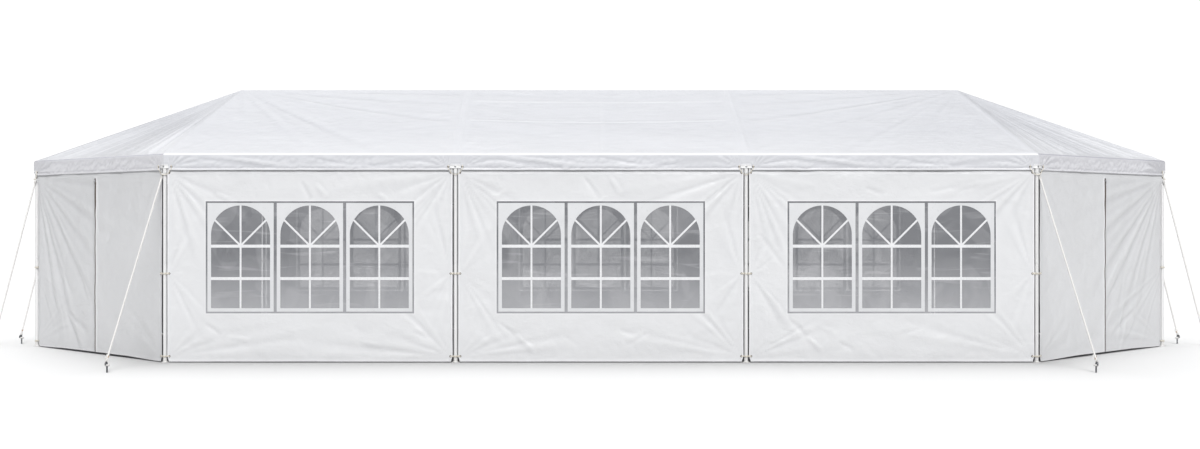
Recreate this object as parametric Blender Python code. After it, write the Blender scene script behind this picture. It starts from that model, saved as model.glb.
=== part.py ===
"""Marquee tent: white fabric on a frame of steel tubes, three bays long, with a narrowed end each side.

The frame is +X along the ridge, -Y towards the front and +Z up.
The origin is the middle of the plan, on the ground. Lengths are in metres.
"""

import math

import bmesh
import bpy
from mathutils import Matrix, Vector

# Plan of the post centres
BAY = 2.75
BAYS = 3
DEPTH = 4.8
TIP_X = 6.0
TIP_HALF_GAP = 0.4
RIDGE_HALF = 3.9

# Heights
RIDGE_TOP = 2.762
EAVE_TOP = 1.970
VALANCE_HEM = 1.820
NOTCH_HEM = 1.867
WALL_TOP = 1.955
WALL_HEM = 0.015
HUB_BOTTOM = 1.790

# Tubes and connectors
TUBE_R = 0.019
SLEEVE_R = 0.0215
SLEEVE_LENGTH = 0.11
HUB_R = 0.0225
HUB_RISE = 0.012
FRAME_SIDES = 12

# Feet
POST_SIDES = 20
FOOT_R = 0.040
FOOT_THICKNESS = 0.005
COLLAR_R = 0.024
COLLAR_TOP = 0.013

# Fabric, with the thickness that the solids have
CANOPY_THICKNESS = 0.003
WALL_THICKNESS = 0.003
VALANCE_GAP = 0.001
NOTCH_HALF_WIDTH = 0.057
WALL_END_GAP = 0.0315

# Clear window sheets
WINDOW_WIDTH = 1.970
WINDOW_BOTTOM = 0.465
WINDOW_TOP = 1.525
WINDOW_LAP = 0.020
WINDOW_THICKNESS = 0.001

# Guy ropes and ground stakes
ROPE_R = 0.0055
ROPE_TOP_Z = 1.771
ROPE_BOTTOM_Z = 0.072
LOOP_POINTS = 12
LOOP_PITCH = 0.0125
BEND_POINTS = 4
BEND_RUN = 0.030
STAKE_R = 0.0055
STAKE_TOP = 0.098
STAKE_HOOK_R = 0.013
STAKE_HOOK_DROP = 0.012
STAKE_BEND_STEPS = 5
ROUND_BEVEL_RESOLUTION = 2

# Gap left between pieces that touch
GAP = 0.0003

HALF_DEPTH = DEPTH / 2
CORNER_X = BAY * BAYS / 2
WALL_INNER = SLEEVE_R + GAP
EAVE_OUT = WALL_INNER + WALL_THICKNESS + VALANCE_GAP + CANOPY_THICKNESS

# Where each guy rope is staked: from its post, outwards along X and towards the front
CORNER_STAKE = (0.246, 1.05)
TIP_FRONT_STAKE = (0.480, -0.09)
TIP_BACK_STAKE = (0.280, 0.464)

MATERIALS = {
    "white_fabric": ((0.82, 0.83, 0.86, 1.0), 0.55, 0.0),
    "clear_window": ((0.55, 0.57, 0.60, 1.0), 0.15, 0.0),
    "white_steel": ((0.86, 0.87, 0.88, 1.0), 0.35, 0.0),
    "guy_rope": ((0.80, 0.80, 0.78, 1.0), 0.80, 0.0),
    "stake_steel": ((0.10, 0.11, 0.13, 1.0), 0.40, 0.9),
}


def clear_scene():
    """Remove every object, so that the script can run in any file."""
    for old in list(bpy.data.objects):
        bpy.data.objects.remove(old, do_unlink=True)


def make_materials():
    """One Principled material for each finish."""
    made = {}
    for name, (colour, roughness, metallic) in MATERIALS.items():
        material = bpy.data.materials.new(name)
        material.use_nodes = True
        shader = material.node_tree.nodes["Principled BSDF"]
        shader.inputs["Base Color"].default_value = colour
        shader.inputs["Roughness"].default_value = roughness
        shader.inputs["Metallic"].default_value = metallic
        made[name] = material
    return made


def new_object(name, bm, material, collection=None):
    """Turn a bmesh into a named object with its faces pointing out."""
    bmesh.ops.recalc_face_normals(bm, faces=bm.faces)
    mesh = bpy.data.meshes.new(name)
    bm.to_mesh(mesh)
    bm.free()
    mesh.materials.append(material)
    made = bpy.data.objects.new(name, mesh)
    (collection or bpy.context.scene.collection).objects.link(made)
    return made


def shade_round(made):
    """Smooth shading with sharp rims."""
    made.data.shade_smooth()
    made.data.set_sharp_from_angle(angle=math.radians(35))


def lathe(profile, sides):
    """A closed solid turned round Z from (radius, height) points that start and end on the axis."""
    bm = bmesh.new()
    rings = []
    for radius, height in profile:
        if radius == 0:
            rings.append([bm.verts.new((0, 0, height))])
            continue
        ring = []
        for step in range(sides):
            angle = 2 * math.pi * step / sides
            ring.append(bm.verts.new((radius * math.cos(angle), radius * math.sin(angle), height)))
        rings.append(ring)
    for low, high in zip(rings, rings[1:]):
        for step in range(sides):
            after = (step + 1) % sides
            if len(low) == 1:
                bm.faces.new((low[0], high[after], high[step]))
            elif len(high) == 1:
                bm.faces.new((low[step], low[after], high[0]))
            else:
                bm.faces.new((low[step], low[after], high[after], high[step]))
    return bm


def along(start, end):
    """The matrix that takes the Z axis, from the origin, onto the line from start to end."""
    direction = Vector(end) - Vector(start)
    return Matrix.Translation(start) @ direction.to_track_quat("Z", "Y").to_matrix().to_4x4()


def tube_profile(length, sleeve_at_start, sleeve_at_end):
    """A pole with the wider sleeve of its connector at either end."""
    profile = [(0, 0)]
    if sleeve_at_start:
        profile += [(SLEEVE_R, 0), (SLEEVE_R, SLEEVE_LENGTH), (TUBE_R, SLEEVE_LENGTH)]
    else:
        profile += [(TUBE_R, 0)]
    if sleeve_at_end:
        neck = length - SLEEVE_LENGTH
        profile += [(TUBE_R, neck), (SLEEVE_R, neck), (SLEEVE_R, length)]
    else:
        profile += [(TUBE_R, length)]
    profile.append((0, length))
    return profile


def pole(start, end, sleeve_at_start=False, sleeve_at_end=False):
    """A pole from start to end, as a bmesh in world space."""
    length = (Vector(end) - Vector(start)).length
    bm = lathe(tube_profile(length, sleeve_at_start, sleeve_at_end), FRAME_SIDES)
    bm.transform(along(start, end))
    return bm


def stub(start, end):
    """The sleeve of a connector, pointing from start towards end."""
    bm = lathe([(0, 0), (SLEEVE_R, 0), (SLEEVE_R, SLEEVE_LENGTH), (0, SLEEVE_LENGTH)], FRAME_SIDES)
    bm.transform(along(start, end))
    return bm


def hub(x, y):
    """The upright socket of an eave connector, which stands on its post."""
    top = rail_height() + HUB_RISE
    bm = lathe([(0, HUB_BOTTOM), (HUB_R, HUB_BOTTOM), (HUB_R, top), (0, top)], FRAME_SIDES)
    bm.transform(Matrix.Translation((x, y, 0)))
    return bm


def fused(name, pieces, material):
    """One closed solid out of overlapping pieces."""
    base = new_object(name, pieces[0], material)
    cutters = bpy.data.collections.new(name + "_pieces")
    bpy.context.scene.collection.children.link(cutters)
    for number, piece in enumerate(pieces[1:], start=1):
        guide = new_object(f"{name}_piece_{number}", piece, material, cutters)
        guide.hide_render = True
        guide.display_type = "WIRE"
    union = base.modifiers.new("Union", "BOOLEAN")
    union.operation = "UNION"
    union.operand_type = "COLLECTION"
    union.collection = cutters
    union.solver = "EXACT"
    return base


def post_ring():
    """Post centres in plan, from the front left corner round by the right end."""
    ring = []
    for number in range(BAYS + 1):
        ring.append((-CORNER_X + BAY * number, -HALF_DEPTH))
    ring.append((TIP_X, -TIP_HALF_GAP))
    ring.append((TIP_X, TIP_HALF_GAP))
    for number in range(BAYS + 1):
        ring.append((CORNER_X - BAY * number, HALF_DEPTH))
    ring.append((-TIP_X, TIP_HALF_GAP))
    ring.append((-TIP_X, -TIP_HALF_GAP))
    return [Vector(point) for point in ring]


def ring_names():
    """The name of each post of the ring."""
    names = [f"front_{number}" for number in range(1, BAYS + 2)]
    names += ["tip_right_front", "tip_right_back"]
    names += [f"back_{number}" for number in range(BAYS + 1, 0, -1)]
    names += ["tip_left_back", "tip_left_front"]
    return names


def outward(a, b):
    """The unit vector in plan that points out of the tent from the side a to b."""
    side = (b - a).normalized()
    return Vector((side.y, -side.x))


def ridge_point(a, b):
    """The ridge end that the roof over the side a to b rises to, in plan."""
    middle = (a.x + b.x) / 2
    return Vector((math.copysign(RIDGE_HALF, middle), 0.0))


def roof_slope(a, b):
    """The tangent of the roof's pitch over the side a to b."""
    run = (a - ridge_point(a, b)).dot(outward(a, b)) + EAVE_OUT
    return (RIDGE_TOP - EAVE_TOP) / run


def depth_below(slope):
    """How far a connector's axis lies straight below the roof's outer face."""
    return (CANOPY_THICKNESS + GAP + SLEEVE_R) * math.hypot(1, slope)


def rail_height():
    """The height of the eave poles' axes: under the long sides of the roof."""
    ring = post_ring()
    slope = roof_slope(ring[0], ring[1])
    return EAVE_TOP + EAVE_OUT * slope - depth_below(slope)


def ridge_height():
    """The height of the ridge poles' axis: clear of the steepest face."""
    ring = post_ring()
    slopes = [roof_slope(a, b) for a, b in zip(ring, ring[1:] + ring[:1])]
    return RIDGE_TOP - depth_below(max(slopes))


def offset_corner(ring, index, distance):
    """Corner of the post ring moved outwards by distance from both of its sides."""
    before = ring[index - 1]
    here = ring[index]
    after = ring[(index + 1) % len(ring)]
    one = outward(before, here)
    two = outward(here, after)
    return here + (one + two) * (distance / (1 + one.dot(two)))


def make_posts(ring, names, material):
    """Round posts on their foot plates, up to the sockets."""
    top = HUB_BOTTOM - GAP
    profile = [
        (0, 0),
        (FOOT_R, 0),
        (FOOT_R, FOOT_THICKNESS),
        (COLLAR_R, FOOT_THICKNESS),
        (TUBE_R, COLLAR_TOP),
        (TUBE_R, top),
        (0, top),
    ]
    for place, name in zip(ring, names):
        post = new_object("post_" + name, lathe(profile, POST_SIDES), material)
        post.location = (place.x, place.y, 0)
        shade_round(post)


def rafter_line(place):
    """Ends of the rafter over a post: its ridge end, and the post's connector."""
    eave = Vector((place.x, place.y, rail_height()))
    if abs(place.x) < CORNER_X - BAY / 2:
        ridge_x = place.x
    else:
        ridge_x = math.copysign(RIDGE_HALF, place.x)
    return Vector((ridge_x, 0, ridge_height())), eave


def make_eave_rails(ring, material):
    """Poles and connectors round the eaves: two straight rails and two bent ones."""
    height = rail_height()
    level = [Vector((point.x, point.y, height)) for point in ring]
    last = BAYS
    for name, first in (("eave_rail_front", 0), ("eave_rail_back", last + 3)):
        corners = range(first, first + BAYS + 1)
        pieces = [pole(level[i], level[i + 1], True, True) for i in corners[:-1]]
        pieces.append(stub(level[corners[0]], level[corners[0] - 1]))
        pieces.append(stub(level[corners[-1]], level[(corners[-1] + 1) % len(level)]))
        for i in corners:
            pieces.append(hub(ring[i].x, ring[i].y))
            ridge, eave = rafter_line(ring[i])
            pieces.append(stub(eave, ridge))
        shade_round(fused(name, pieces, material))
    for name, first in (("eave_rail_right", last), ("eave_rail_left", 2 * last + 3)):
        a, b, c, d = [level[(first + step) % len(level)] for step in range(4)]
        reach = SLEEVE_LENGTH + GAP
        pieces = [
            pole(a + (b - a).normalized() * reach, b, False, True),
            pole(b, c, True, True),
            pole(c, d + (c - d).normalized() * reach, True, False),
        ]
        for place in (b, c):
            pieces.append(hub(place.x, place.y))
            ridge, eave = rafter_line(place)
            pieces.append(stub(eave, ridge))
        shade_round(fused(name, pieces, material))


def rafter(place):
    """The rafter over a post, from the middle of the ridge connector to the eave sleeve."""
    ridge, eave = rafter_line(place)
    foot = eave + (ridge - eave).normalized() * (SLEEVE_LENGTH + GAP)
    return pole(ridge, foot, True, False)


def make_roof_frame(ring, material):
    """Ridge poles, a pair of rafters over each middle post, and four rafters at each end."""
    height = ridge_height()
    middle_x = BAY / 2
    for side, sign in (("left", -1), ("right", 1)):
        pair = [rafter(point) for point in ring if abs(point.x - sign * middle_x) < TUBE_R]
        centre = Vector((sign * middle_x, 0, height))
        pair.append(stub(centre, centre + Vector((1, 0, 0))))
        pair.append(stub(centre, centre - Vector((1, 0, 0))))
        shade_round(fused(f"rafters_mid_{side}", pair, material))
        group = [rafter(point) for point in ring if point.x * sign > middle_x + TUBE_R]
        end = Vector((sign * RIDGE_HALF, 0, height))
        group.append(stub(end, Vector((0, 0, height))))
        shade_round(fused(f"rafters_end_{side}", group, material))
    reach = SLEEVE_LENGTH + GAP
    spans = (
        ("ridge_pole_left", -RIDGE_HALF, -middle_x),
        ("ridge_pole_middle", -middle_x, middle_x),
        ("ridge_pole_right", middle_x, RIDGE_HALF),
    )
    for name, low, high in spans:
        piece = pole((low + reach, 0, height), (high - reach, 0, height))
        shade_round(new_object(name, piece, material))


def side_matrix(a, b):
    """Local X along the side a to b from its middle, local Y out of the tent."""
    along_side = (b - a).normalized()
    out = outward(a, b)
    middle = (a + b) / 2
    return Matrix((
        (along_side.x, out.x, 0, middle.x),
        (along_side.y, out.y, 0, middle.y),
        (0, 0, 1, 0),
        (0, 0, 0, 1),
    ))


def rectangle(bm, half_width, low, high, y):
    """Four corners of an upright rectangle."""
    corners = ((-half_width, low), (half_width, low), (half_width, high), (-half_width, high))
    return [bm.verts.new((x, y, z)) for x, z in corners]


def panel(half_width, low, high, y_inner, y_outer, opening=None):
    """A flat sheet with real thickness, and with a rectangle cut through it if one is given."""
    bm = bmesh.new()
    inner = rectangle(bm, half_width, low, high, y_inner)
    outer = rectangle(bm, half_width, low, high, y_outer)
    if opening:
        cut_inner = rectangle(bm, *opening, y_inner)
        cut_outer = rectangle(bm, *opening, y_outer)
    else:
        bm.faces.new(inner)
        bm.faces.new(outer)
    for i in range(4):
        j = (i + 1) % 4
        bm.faces.new((inner[i], inner[j], outer[j], outer[i]))
        if opening:
            bm.faces.new((cut_inner[i], cut_inner[j], cut_outer[j], cut_outer[i]))
            bm.faces.new((inner[i], inner[j], cut_inner[j], cut_inner[i]))
            bm.faces.new((outer[i], outer[j], cut_outer[j], cut_outer[i]))
    return bm


def make_walls(ring, fabric, clear):
    """Twelve hanging walls: windows along the front and back, plain ones round the ends."""
    bay_names = ("left", "middle", "right")
    names = [f"front_{bay}" for bay in bay_names]
    names += ["corner_right_front", "end_right", "corner_right_back"]
    names += [f"back_{bay}" for bay in reversed(bay_names)]
    names += ["corner_left_back", "end_left", "corner_left_front"]
    y_outer = WALL_INNER + WALL_THICKNESS
    window_outer = WALL_INNER - GAP
    for index, name in enumerate(names):
        a = ring[index]
        b = ring[(index + 1) % len(ring)]
        half_width = (b - a).length / 2 - WALL_END_GAP
        opening = None
        if name.startswith(("front", "back")):
            opening = (WINDOW_WIDTH / 2, WINDOW_BOTTOM, WINDOW_TOP)
            sheet = panel(
                WINDOW_WIDTH / 2 + WINDOW_LAP,
                WINDOW_BOTTOM - WINDOW_LAP,
                WINDOW_TOP + WINDOW_LAP,
                window_outer - WINDOW_THICKNESS,
                window_outer,
            )
            new_object("window_" + name, sheet, clear).matrix_world = side_matrix(a, b)
        wall = panel(half_width, WALL_HEM, WALL_TOP, WALL_INNER, y_outer, opening)
        new_object("wall_" + name, wall, fabric).matrix_world = side_matrix(a, b)


def make_canopy(ring, fabric):
    """Roof and valance in one sheet: eight sloping faces and a skirt with a notch at each post."""
    bm = bmesh.new()
    count = len(ring)
    eaves = [offset_corner(ring, i, EAVE_OUT) for i in range(count)]
    top = [bm.verts.new((point.x, point.y, EAVE_TOP)) for point in eaves]
    notch = [bm.verts.new((point.x, point.y, NOTCH_HEM)) for point in eaves]
    ridge = {}
    for x in (-RIDGE_HALF, RIDGE_HALF):
        ridge[x] = bm.verts.new((x, 0, RIDGE_TOP))

    rows = []
    for i in range(count):
        j = (i + 1) % count
        side = (eaves[j] - eaves[i]).normalized()
        near = eaves[i] + side * NOTCH_HALF_WIDTH
        far = eaves[j] - side * NOTCH_HALF_WIDTH
        stations = []
        for point in (near, far):
            heights = (EAVE_TOP, NOTCH_HEM, VALANCE_HEM)
            stations.append([bm.verts.new((point.x, point.y, height)) for height in heights])
        start, end = stations
        bm.faces.new((top[i], notch[i], start[1], start[0]))
        bm.faces.new((start[0], start[1], start[2], end[2], end[1], end[0]))
        bm.faces.new((end[0], end[1], notch[j], top[j]))
        rows.append([start[0], end[0]])

    def slope_face(first, last, ridge_points):
        """A roof face over the sides from corner first to corner last."""
        rim = [top[first]]
        for i in range(first, last):
            rim += rows[i % count]
            rim.append(top[(i + 1) % count])
        bm.faces.new(rim + ridge_points)

    left = ridge[-RIDGE_HALF]
    right = ridge[RIDGE_HALF]
    slope_face(0, BAYS, [right, left])
    for i in range(BAYS, BAYS + 3):
        slope_face(i, i + 1, [right])
    slope_face(BAYS + 3, 2 * BAYS + 3, [left, right])
    for i in range(2 * BAYS + 3, 2 * BAYS + 6):
        slope_face(i, i + 1, [left])

    canopy = new_object("roof_canopy", bm, fabric)
    shell = canopy.modifiers.new("Thickness", "SOLIDIFY")
    shell.thickness = CANOPY_THICKNESS
    shell.offset = -1
    shell.use_even_offset = True
    shell.use_rim = True


def helix(centre, radius, start_angle, turn, z_start, z_end):
    """Points round an upright post, spaced evenly over a signed turn."""
    points = []
    for step in range(LOOP_POINTS + 1):
        share = step / LOOP_POINTS
        angle = start_angle + turn * share
        z = z_start + (z_end - z_start) * share
        place = (centre.x + radius * math.cos(angle), centre.y + radius * math.sin(angle), z)
        points.append(Vector(place))
    return points


def bend(corner, before, after):
    """Points that round the corner between the directions from before and to after."""
    start = corner + (before - corner).normalized() * BEND_RUN / 3
    end = corner + (after - corner).normalized() * BEND_RUN
    points = []
    for step in range(1, BEND_POINTS + 1):
        share = step / (BEND_POINTS + 1)
        points.append(start * (1 - share) ** 2 + corner * 2 * share * (1 - share) + end * share ** 2)
    points.append(end)
    return points


def loop_radius(core):
    """The radius of a rope's loop round an upright bar, whose straight stretches clear the bar."""
    return (core + 2 * GAP + ROPE_R) / math.cos(math.pi / LOOP_POINTS)


def rope_points(post, stake, out):
    """One loop round the post, a taut run off its outer side, and one loop round the stake."""
    post_loop = loop_radius(TUBE_R)
    stake_loop = loop_radius(STAKE_R)
    run = stake - post
    side = math.copysign(1, Vector((-run.y, run.x)).dot(out))
    lean = math.asin((post_loop - stake_loop) / run.length)
    leave = math.atan2(run.y, run.x) + side * (math.pi / 2 - lean)
    turn = -side * 2 * math.pi
    top = helix(post, post_loop, leave - turn, turn, ROPE_TOP_Z + LOOP_PITCH, ROPE_TOP_Z)
    low = helix(stake, stake_loop, leave, turn, ROPE_BOTTOM_Z, ROPE_BOTTOM_Z - LOOP_PITCH)
    upper_bend = bend(top[-1], top[-2], low[0])
    lower_bend = bend(low[0], low[1], top[-1])
    lower_bend.reverse()
    return top[:-1] + upper_bend + lower_bend + low[1:]


def round_bar(name, points, radius, material):
    """A round bar or rope along a line of points, with closed ends."""
    curve = bpy.data.curves.new(name, "CURVE")
    curve.dimensions = "3D"
    curve.bevel_depth = radius
    curve.bevel_resolution = ROUND_BEVEL_RESOLUTION
    curve.use_fill_caps = True
    curve.render_resolution_u = 0
    spline = curve.splines.new("POLY")
    spline.points.add(len(points) - 1)
    for slot, point in zip(spline.points, points):
        slot.co = (*point, 1)
    curve.materials.append(material)
    made = bpy.data.objects.new(name, curve)
    bpy.context.scene.collection.objects.link(made)
    return made


def stake_points(stake, out):
    """A stake from the ground up, with its head bent over away from the tent."""
    base = Vector((stake.x, stake.y, 0))
    aside = Vector((out.x, out.y, 0))
    centre = base + aside * STAKE_HOOK_R + Vector((0, 0, STAKE_TOP - STAKE_R - STAKE_HOOK_R))
    points = [base]
    for step in range(STAKE_BEND_STEPS + 1):
        angle = math.pi * (1 - step / STAKE_BEND_STEPS)
        turn = aside * math.cos(angle) + Vector((0, 0, math.sin(angle)))
        points.append(centre + turn * STAKE_HOOK_R)
    points.append(points[-1] - Vector((0, 0, STAKE_HOOK_DROP)))
    return points


def make_guys(ring, names, rope, steel):
    """A guy rope and its ground stake at each corner post and each tip post."""
    for index, (place, name) in enumerate(zip(ring, names)):
        if abs(place.x) < CORNER_X - BAY / 2:
            continue
        if name.startswith("tip"):
            out, forward = TIP_FRONT_STAKE if name.endswith("front") else TIP_BACK_STAKE
            shift = Vector((math.copysign(out, place.x), -forward))
        else:
            out, forward = CORNER_STAKE
            shift = Vector((math.copysign(out, place.x), math.copysign(forward, place.y)))
        stake = place + shift
        outer_side = offset_corner(ring, index, 1) - place
        round_bar("guy_rope_" + name, rope_points(place, stake, outer_side), ROPE_R, rope)
        round_bar("stake_" + name, stake_points(stake, shift.normalized()), STAKE_R, steel)


def main():
    clear_scene()
    materials = make_materials()
    ring = post_ring()
    names = ring_names()
    make_posts(ring, names, materials["white_steel"])
    make_eave_rails(ring, materials["white_steel"])
    make_roof_frame(ring, materials["white_steel"])
    make_walls(ring, materials["white_fabric"], materials["clear_window"])
    make_canopy(ring, materials["white_fabric"])
    make_guys(ring, names, materials["guy_rope"], materials["stake_steel"])


main()
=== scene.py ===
"""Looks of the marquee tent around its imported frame, in metres: +X along the ridge, -Y to the front."""

import math

import bpy
import numpy as np
from mathutils import Matrix, Vector


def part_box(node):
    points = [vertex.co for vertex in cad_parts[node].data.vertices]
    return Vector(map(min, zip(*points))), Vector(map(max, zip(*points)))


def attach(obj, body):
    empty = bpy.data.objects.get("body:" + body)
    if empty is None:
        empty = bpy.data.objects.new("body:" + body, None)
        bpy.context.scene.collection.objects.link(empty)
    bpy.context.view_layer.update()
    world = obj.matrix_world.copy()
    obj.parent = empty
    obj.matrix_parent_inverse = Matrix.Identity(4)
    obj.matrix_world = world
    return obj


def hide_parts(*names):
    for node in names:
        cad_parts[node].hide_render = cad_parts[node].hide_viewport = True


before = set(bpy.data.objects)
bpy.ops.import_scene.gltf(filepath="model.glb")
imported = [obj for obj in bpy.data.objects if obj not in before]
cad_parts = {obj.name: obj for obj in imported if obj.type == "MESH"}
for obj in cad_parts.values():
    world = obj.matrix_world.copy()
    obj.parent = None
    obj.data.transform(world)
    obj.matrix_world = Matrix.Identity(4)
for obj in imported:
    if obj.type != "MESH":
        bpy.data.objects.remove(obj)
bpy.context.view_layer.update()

# Photograph
PHOTO_WIDTH = 1200
PHOTO_HEIGHT = 449
FOCAL_PX = 1666.7
CAMERA_AT = (-0.10, -18.18, 1.363)
PRINCIPAL_PX = (590.24, 218.4)

# Lights: name, place, target, spread in degrees, and the brightness of a white card that faces it
SUNS = (
    ("overhead_softbox", (0, 0, 20), (0, 0, 0), 100, 0.44),
    ("front_softbox", (2.0, -15.8, 12.3), (0, 0, 0), 20, 0.88),
    ("back_softbox", (-4.0, 16.0, 9.0), (0, 0, 0), 50, 0.16),
)
AMBIENT = 0.12
# A shadow painted on the floor round the tent: its depth, its reach, its fade towards the ends, and its
# slanted corners.
FLOOR_SHADE = 0.53
FLOOR_SHADE_REACH = 0.75
FLOOR_SHADE_FADE = (4.1, 6.4, 1.0, 0.28)
FLOOR_SLANT = (0.7295, 0.6840, 4.651)

# Plan and heights, as the frame has them
RING_NAMES = (
    "front_1", "front_2", "front_3", "front_4", "tip_right_front", "tip_right_back",
    "back_4", "back_3", "back_2", "back_1", "tip_left_back", "tip_left_front",
)
WALL_NAMES = (
    "front_left", "front_middle", "front_right", "corner_right_front", "end_right", "corner_right_back",
    "back_right", "back_middle", "back_left", "corner_left_back", "end_left", "corner_left_front",
)
LONG_SIDES = (0, 1, 2, 6, 7, 8)
GUYED = (0, 3, 4, 5, 6, 9, 10, 11)
# The end of each corner wall that hangs from a tip post: -1 the low end of u, 1 the high end
TIP_SIGN = {3: 1, 5: -1, 9: 1, 11: -1}
RIDGE_HALF = 3.9
RIDGE_Z = 2.762
SEAM_TOP_X = (-1.435, 1.380)
ROOF_TOP_X = (-RIDGE_HALF, *SEAM_TOP_X, *[RIDGE_HALF] * 4, *SEAM_TOP_X[::-1], *[-RIDGE_HALF] * 3)
EAVE_OUT = 0.0288
ARC_R = 0.022
ARC_Z = 1.9546
ARC_END = math.radians(70)
VALANCE_HEM = 1.820
NOTCH_HEM = 1.867
NOTCH_HALF = 0.052
WALL_OUT = 0.0235
WALL_TOP = 1.955
WALL_HEM = 0.009
WALL_END_GAP = 0.0315
POST_R = 0.019
HUB_BOTTOM = 1.790

# Printed windows
WINDOW_WIDTH = 1.970
WINDOW_BOTTOM = 0.465
WINDOW_TOP = 1.525
WINDOW_LAP = 0.018
PRINT_BORDER = 0.016
PANEL_GAP = 0.029
PANE_HALF = 0.279
ARCH_Z = 1.2062
PANE_BOTTOM = 0.5143
BAR_CENTRES = (1.1006, 0.7939)
BAR_HALF = 0.0142
MUNTIN_HALF = 0.0088

# Heights of the three rows of ties, and how far along the wall their eyelets are from the post's axis
TIE_TOP_Z = 1.795
TIE_MID_Z = 0.842
TIE_FOOT_Z = 0.060
TIE_REACH = 0.050
VALANCE_EYE_REACH = 0.0665
VALANCE_EYE_Z = 1.851


# Numbers

def ramp(low, high, x):
    """0 below low, 1 above high, and a smooth rise between them."""
    share = np.clip((x - low) / (high - low), 0.0, 1.0)
    return share * share * (3 - 2 * share)


def bell(distance, width):
    """1 where there is no distance, and a smooth fall over a width."""
    return np.exp(-(distance / width) ** 2)


def noise(x, y, seed):
    """Smooth gradient noise, about -0.7 to 0.7, at arrays of points one unit apart in scale."""
    x, y = np.broadcast_arrays(np.asarray(x, float), np.asarray(y, float))
    cell_x, cell_y = np.floor(x).astype(np.int64), np.floor(y).astype(np.int64)
    dx, dy = x - cell_x, y - cell_y

    def gradient(step_x, step_y):
        key = ((cell_x + step_x) * 374761 + (cell_y + step_y) * 668265 + seed * 144269) & 0x7FFFFFFF
        key = ((key ^ (key >> 13)) * 1274126177) & 0x7FFFFFFF
        angle = ((key ^ (key >> 16)) & 0xFFFF) / 65536 * 2 * math.pi
        return np.cos(angle) * (dx - step_x) + np.sin(angle) * (dy - step_y)

    u = dx ** 3 * (dx * (dx * 6 - 15) + 10)
    v = dy ** 3 * (dy * (dy * 6 - 15) + 10)
    low = gradient(0, 0) * (1 - u) + gradient(1, 0) * u
    high = gradient(0, 1) * (1 - u) + gradient(1, 1) * u
    return low * (1 - v) + high * v


def crumple(x, y, size, seed, turn=0.0, stretch=1.0):
    """Flat facets between creases, about -0.5 to 0.5. size is how far apart the creases are."""
    c, s = math.cos(turn), math.sin(turn)
    along = (x * c + y * s) / (size * stretch)
    across = (y * c - x * s) / size
    bend = noise(along * 0.7, across * 0.7, seed + 5) * 0.6
    return np.abs(noise(along + bend, across + bend, seed)) + 0.5 * np.abs(
        noise(along * 2.1 - bend, across * 2.1, seed + 11)) - 0.35


def fan(x, y, anchor, rays):
    """Tension folds that spread from an anchor. A ray is its bearing, reach, spread in degrees and slope."""
    dx, dy = x - anchor[0], y - anchor[1]
    far = np.hypot(dx, dy)
    angle = np.degrees(np.arctan2(dy, dx))
    height = np.zeros_like(far)
    for turn, reach, spread, slope in rays:
        off = (angle - turn + 180) % 360 - 180
        width = math.radians(spread) * far
        height += slope * width * bell(off, spread) * bell(far, reach)
    return height * ramp(0.0, 0.06, far)


def creases(x, y, lines):
    """Soft folds along lines. A line is its two ends, its half width and its height."""
    height = np.zeros_like(x)
    for x0, y0, x1, y1, width, rise in lines:
        length = math.hypot(x1 - x0, y1 - y0)
        ux, uy = (x1 - x0) / length, (y1 - y0) / length
        along = (x - x0) * ux + (y - y0) * uy
        across = (y - y0) * ux - (x - x0) * uy
        share = np.clip(along / length, 0, 1)
        taper = np.maximum(np.sin(np.pi * share), 0) ** 0.7
        height += rise * taper * bell(across, width * (0.45 + 0.55 * share)) * (share > 0) * (share < 1)
    return height


def hollow(height, x, y, scale):
    """How sharply a grid of heights bends: -1 in a sharp valley, 1 on a sharp ridge."""
    bend = np.gradient(np.gradient(height, x, axis=1), x, axis=1)
    bend = bend + np.gradient(np.gradient(height, y, axis=0), y, axis=0)
    return -np.tanh(bend / scale)


def soft_limit(height, low, high):
    """Folds squeezed smoothly to stay between -low and high."""
    return np.where(height > 0, high * np.tanh(height / high), low * np.tanh(height / low))


def random_rays(rng, low, high, count, reach, slope):
    """Rays at uneven angles, ridges and valleys in turn."""
    rays = []
    for index in range(count):
        turn = low + (high - low) * (index + rng.uniform(0.15, 0.85)) / count
        sign = 1 if index % 2 else -1
        far, spread = reach * rng.uniform(0.6, 1.3), rng.uniform(3.0, 6.5)
        rays.append((turn, far, spread, sign * slope * rng.uniform(0.6, 1.3)))
    return rays


# Plan

class Side:
    """One side of the ring of posts: u runs along it from its middle, and out points away from the tent."""

    def __init__(self, a, b):
        self.a, self.b = np.array(a), np.array(b)
        self.length = float(np.hypot(*(self.b - self.a)))
        self.along = (self.b - self.a) / self.length
        self.out = np.array((self.along[1], -self.along[0]))
        self.middle = (self.a + self.b) / 2
        self.half = self.length / 2

    def place(self, u, out, z):
        """Points in the frame from distances along the side, outwards and up."""
        u, out, z = np.broadcast_arrays(*(np.asarray(value, float) for value in (u, out, z)))
        x = self.middle[0] + self.along[0] * u + self.out[0] * out
        y = self.middle[1] + self.along[1] * u + self.out[1] * out
        return np.stack((x, y, z), axis=-1)

    def matrix(self):
        """Local X along the side, local Y inwards, local Z up, from the middle of the side on the ground."""
        x, n, m = self.along, self.out, self.middle
        return Matrix(((x[0], -n[0], 0, m[0]), (x[1], -n[1], 0, m[1]), (0, 0, 1, 0), (0, 0, 0, 1)))


def post_centre(name):
    """The axis of a post in plan."""
    low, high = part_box("post_" + name)
    return ((low.x + high.x) / 2, (low.y + high.y) / 2)


RING = [np.array(post_centre(name)) for name in RING_NAMES]
SIDES = [Side(RING[i], RING[(i + 1) % len(RING)]) for i in range(len(RING))]


def corner(index, distance):
    """A corner of the ring of posts, moved outwards from both of its sides."""
    one = SIDES[index - 1].out
    two = SIDES[index % len(SIDES)].out
    return RING[index % len(RING)] + (one + two) * (distance / (1 + one.dot(two)))


# Meshes

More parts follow.
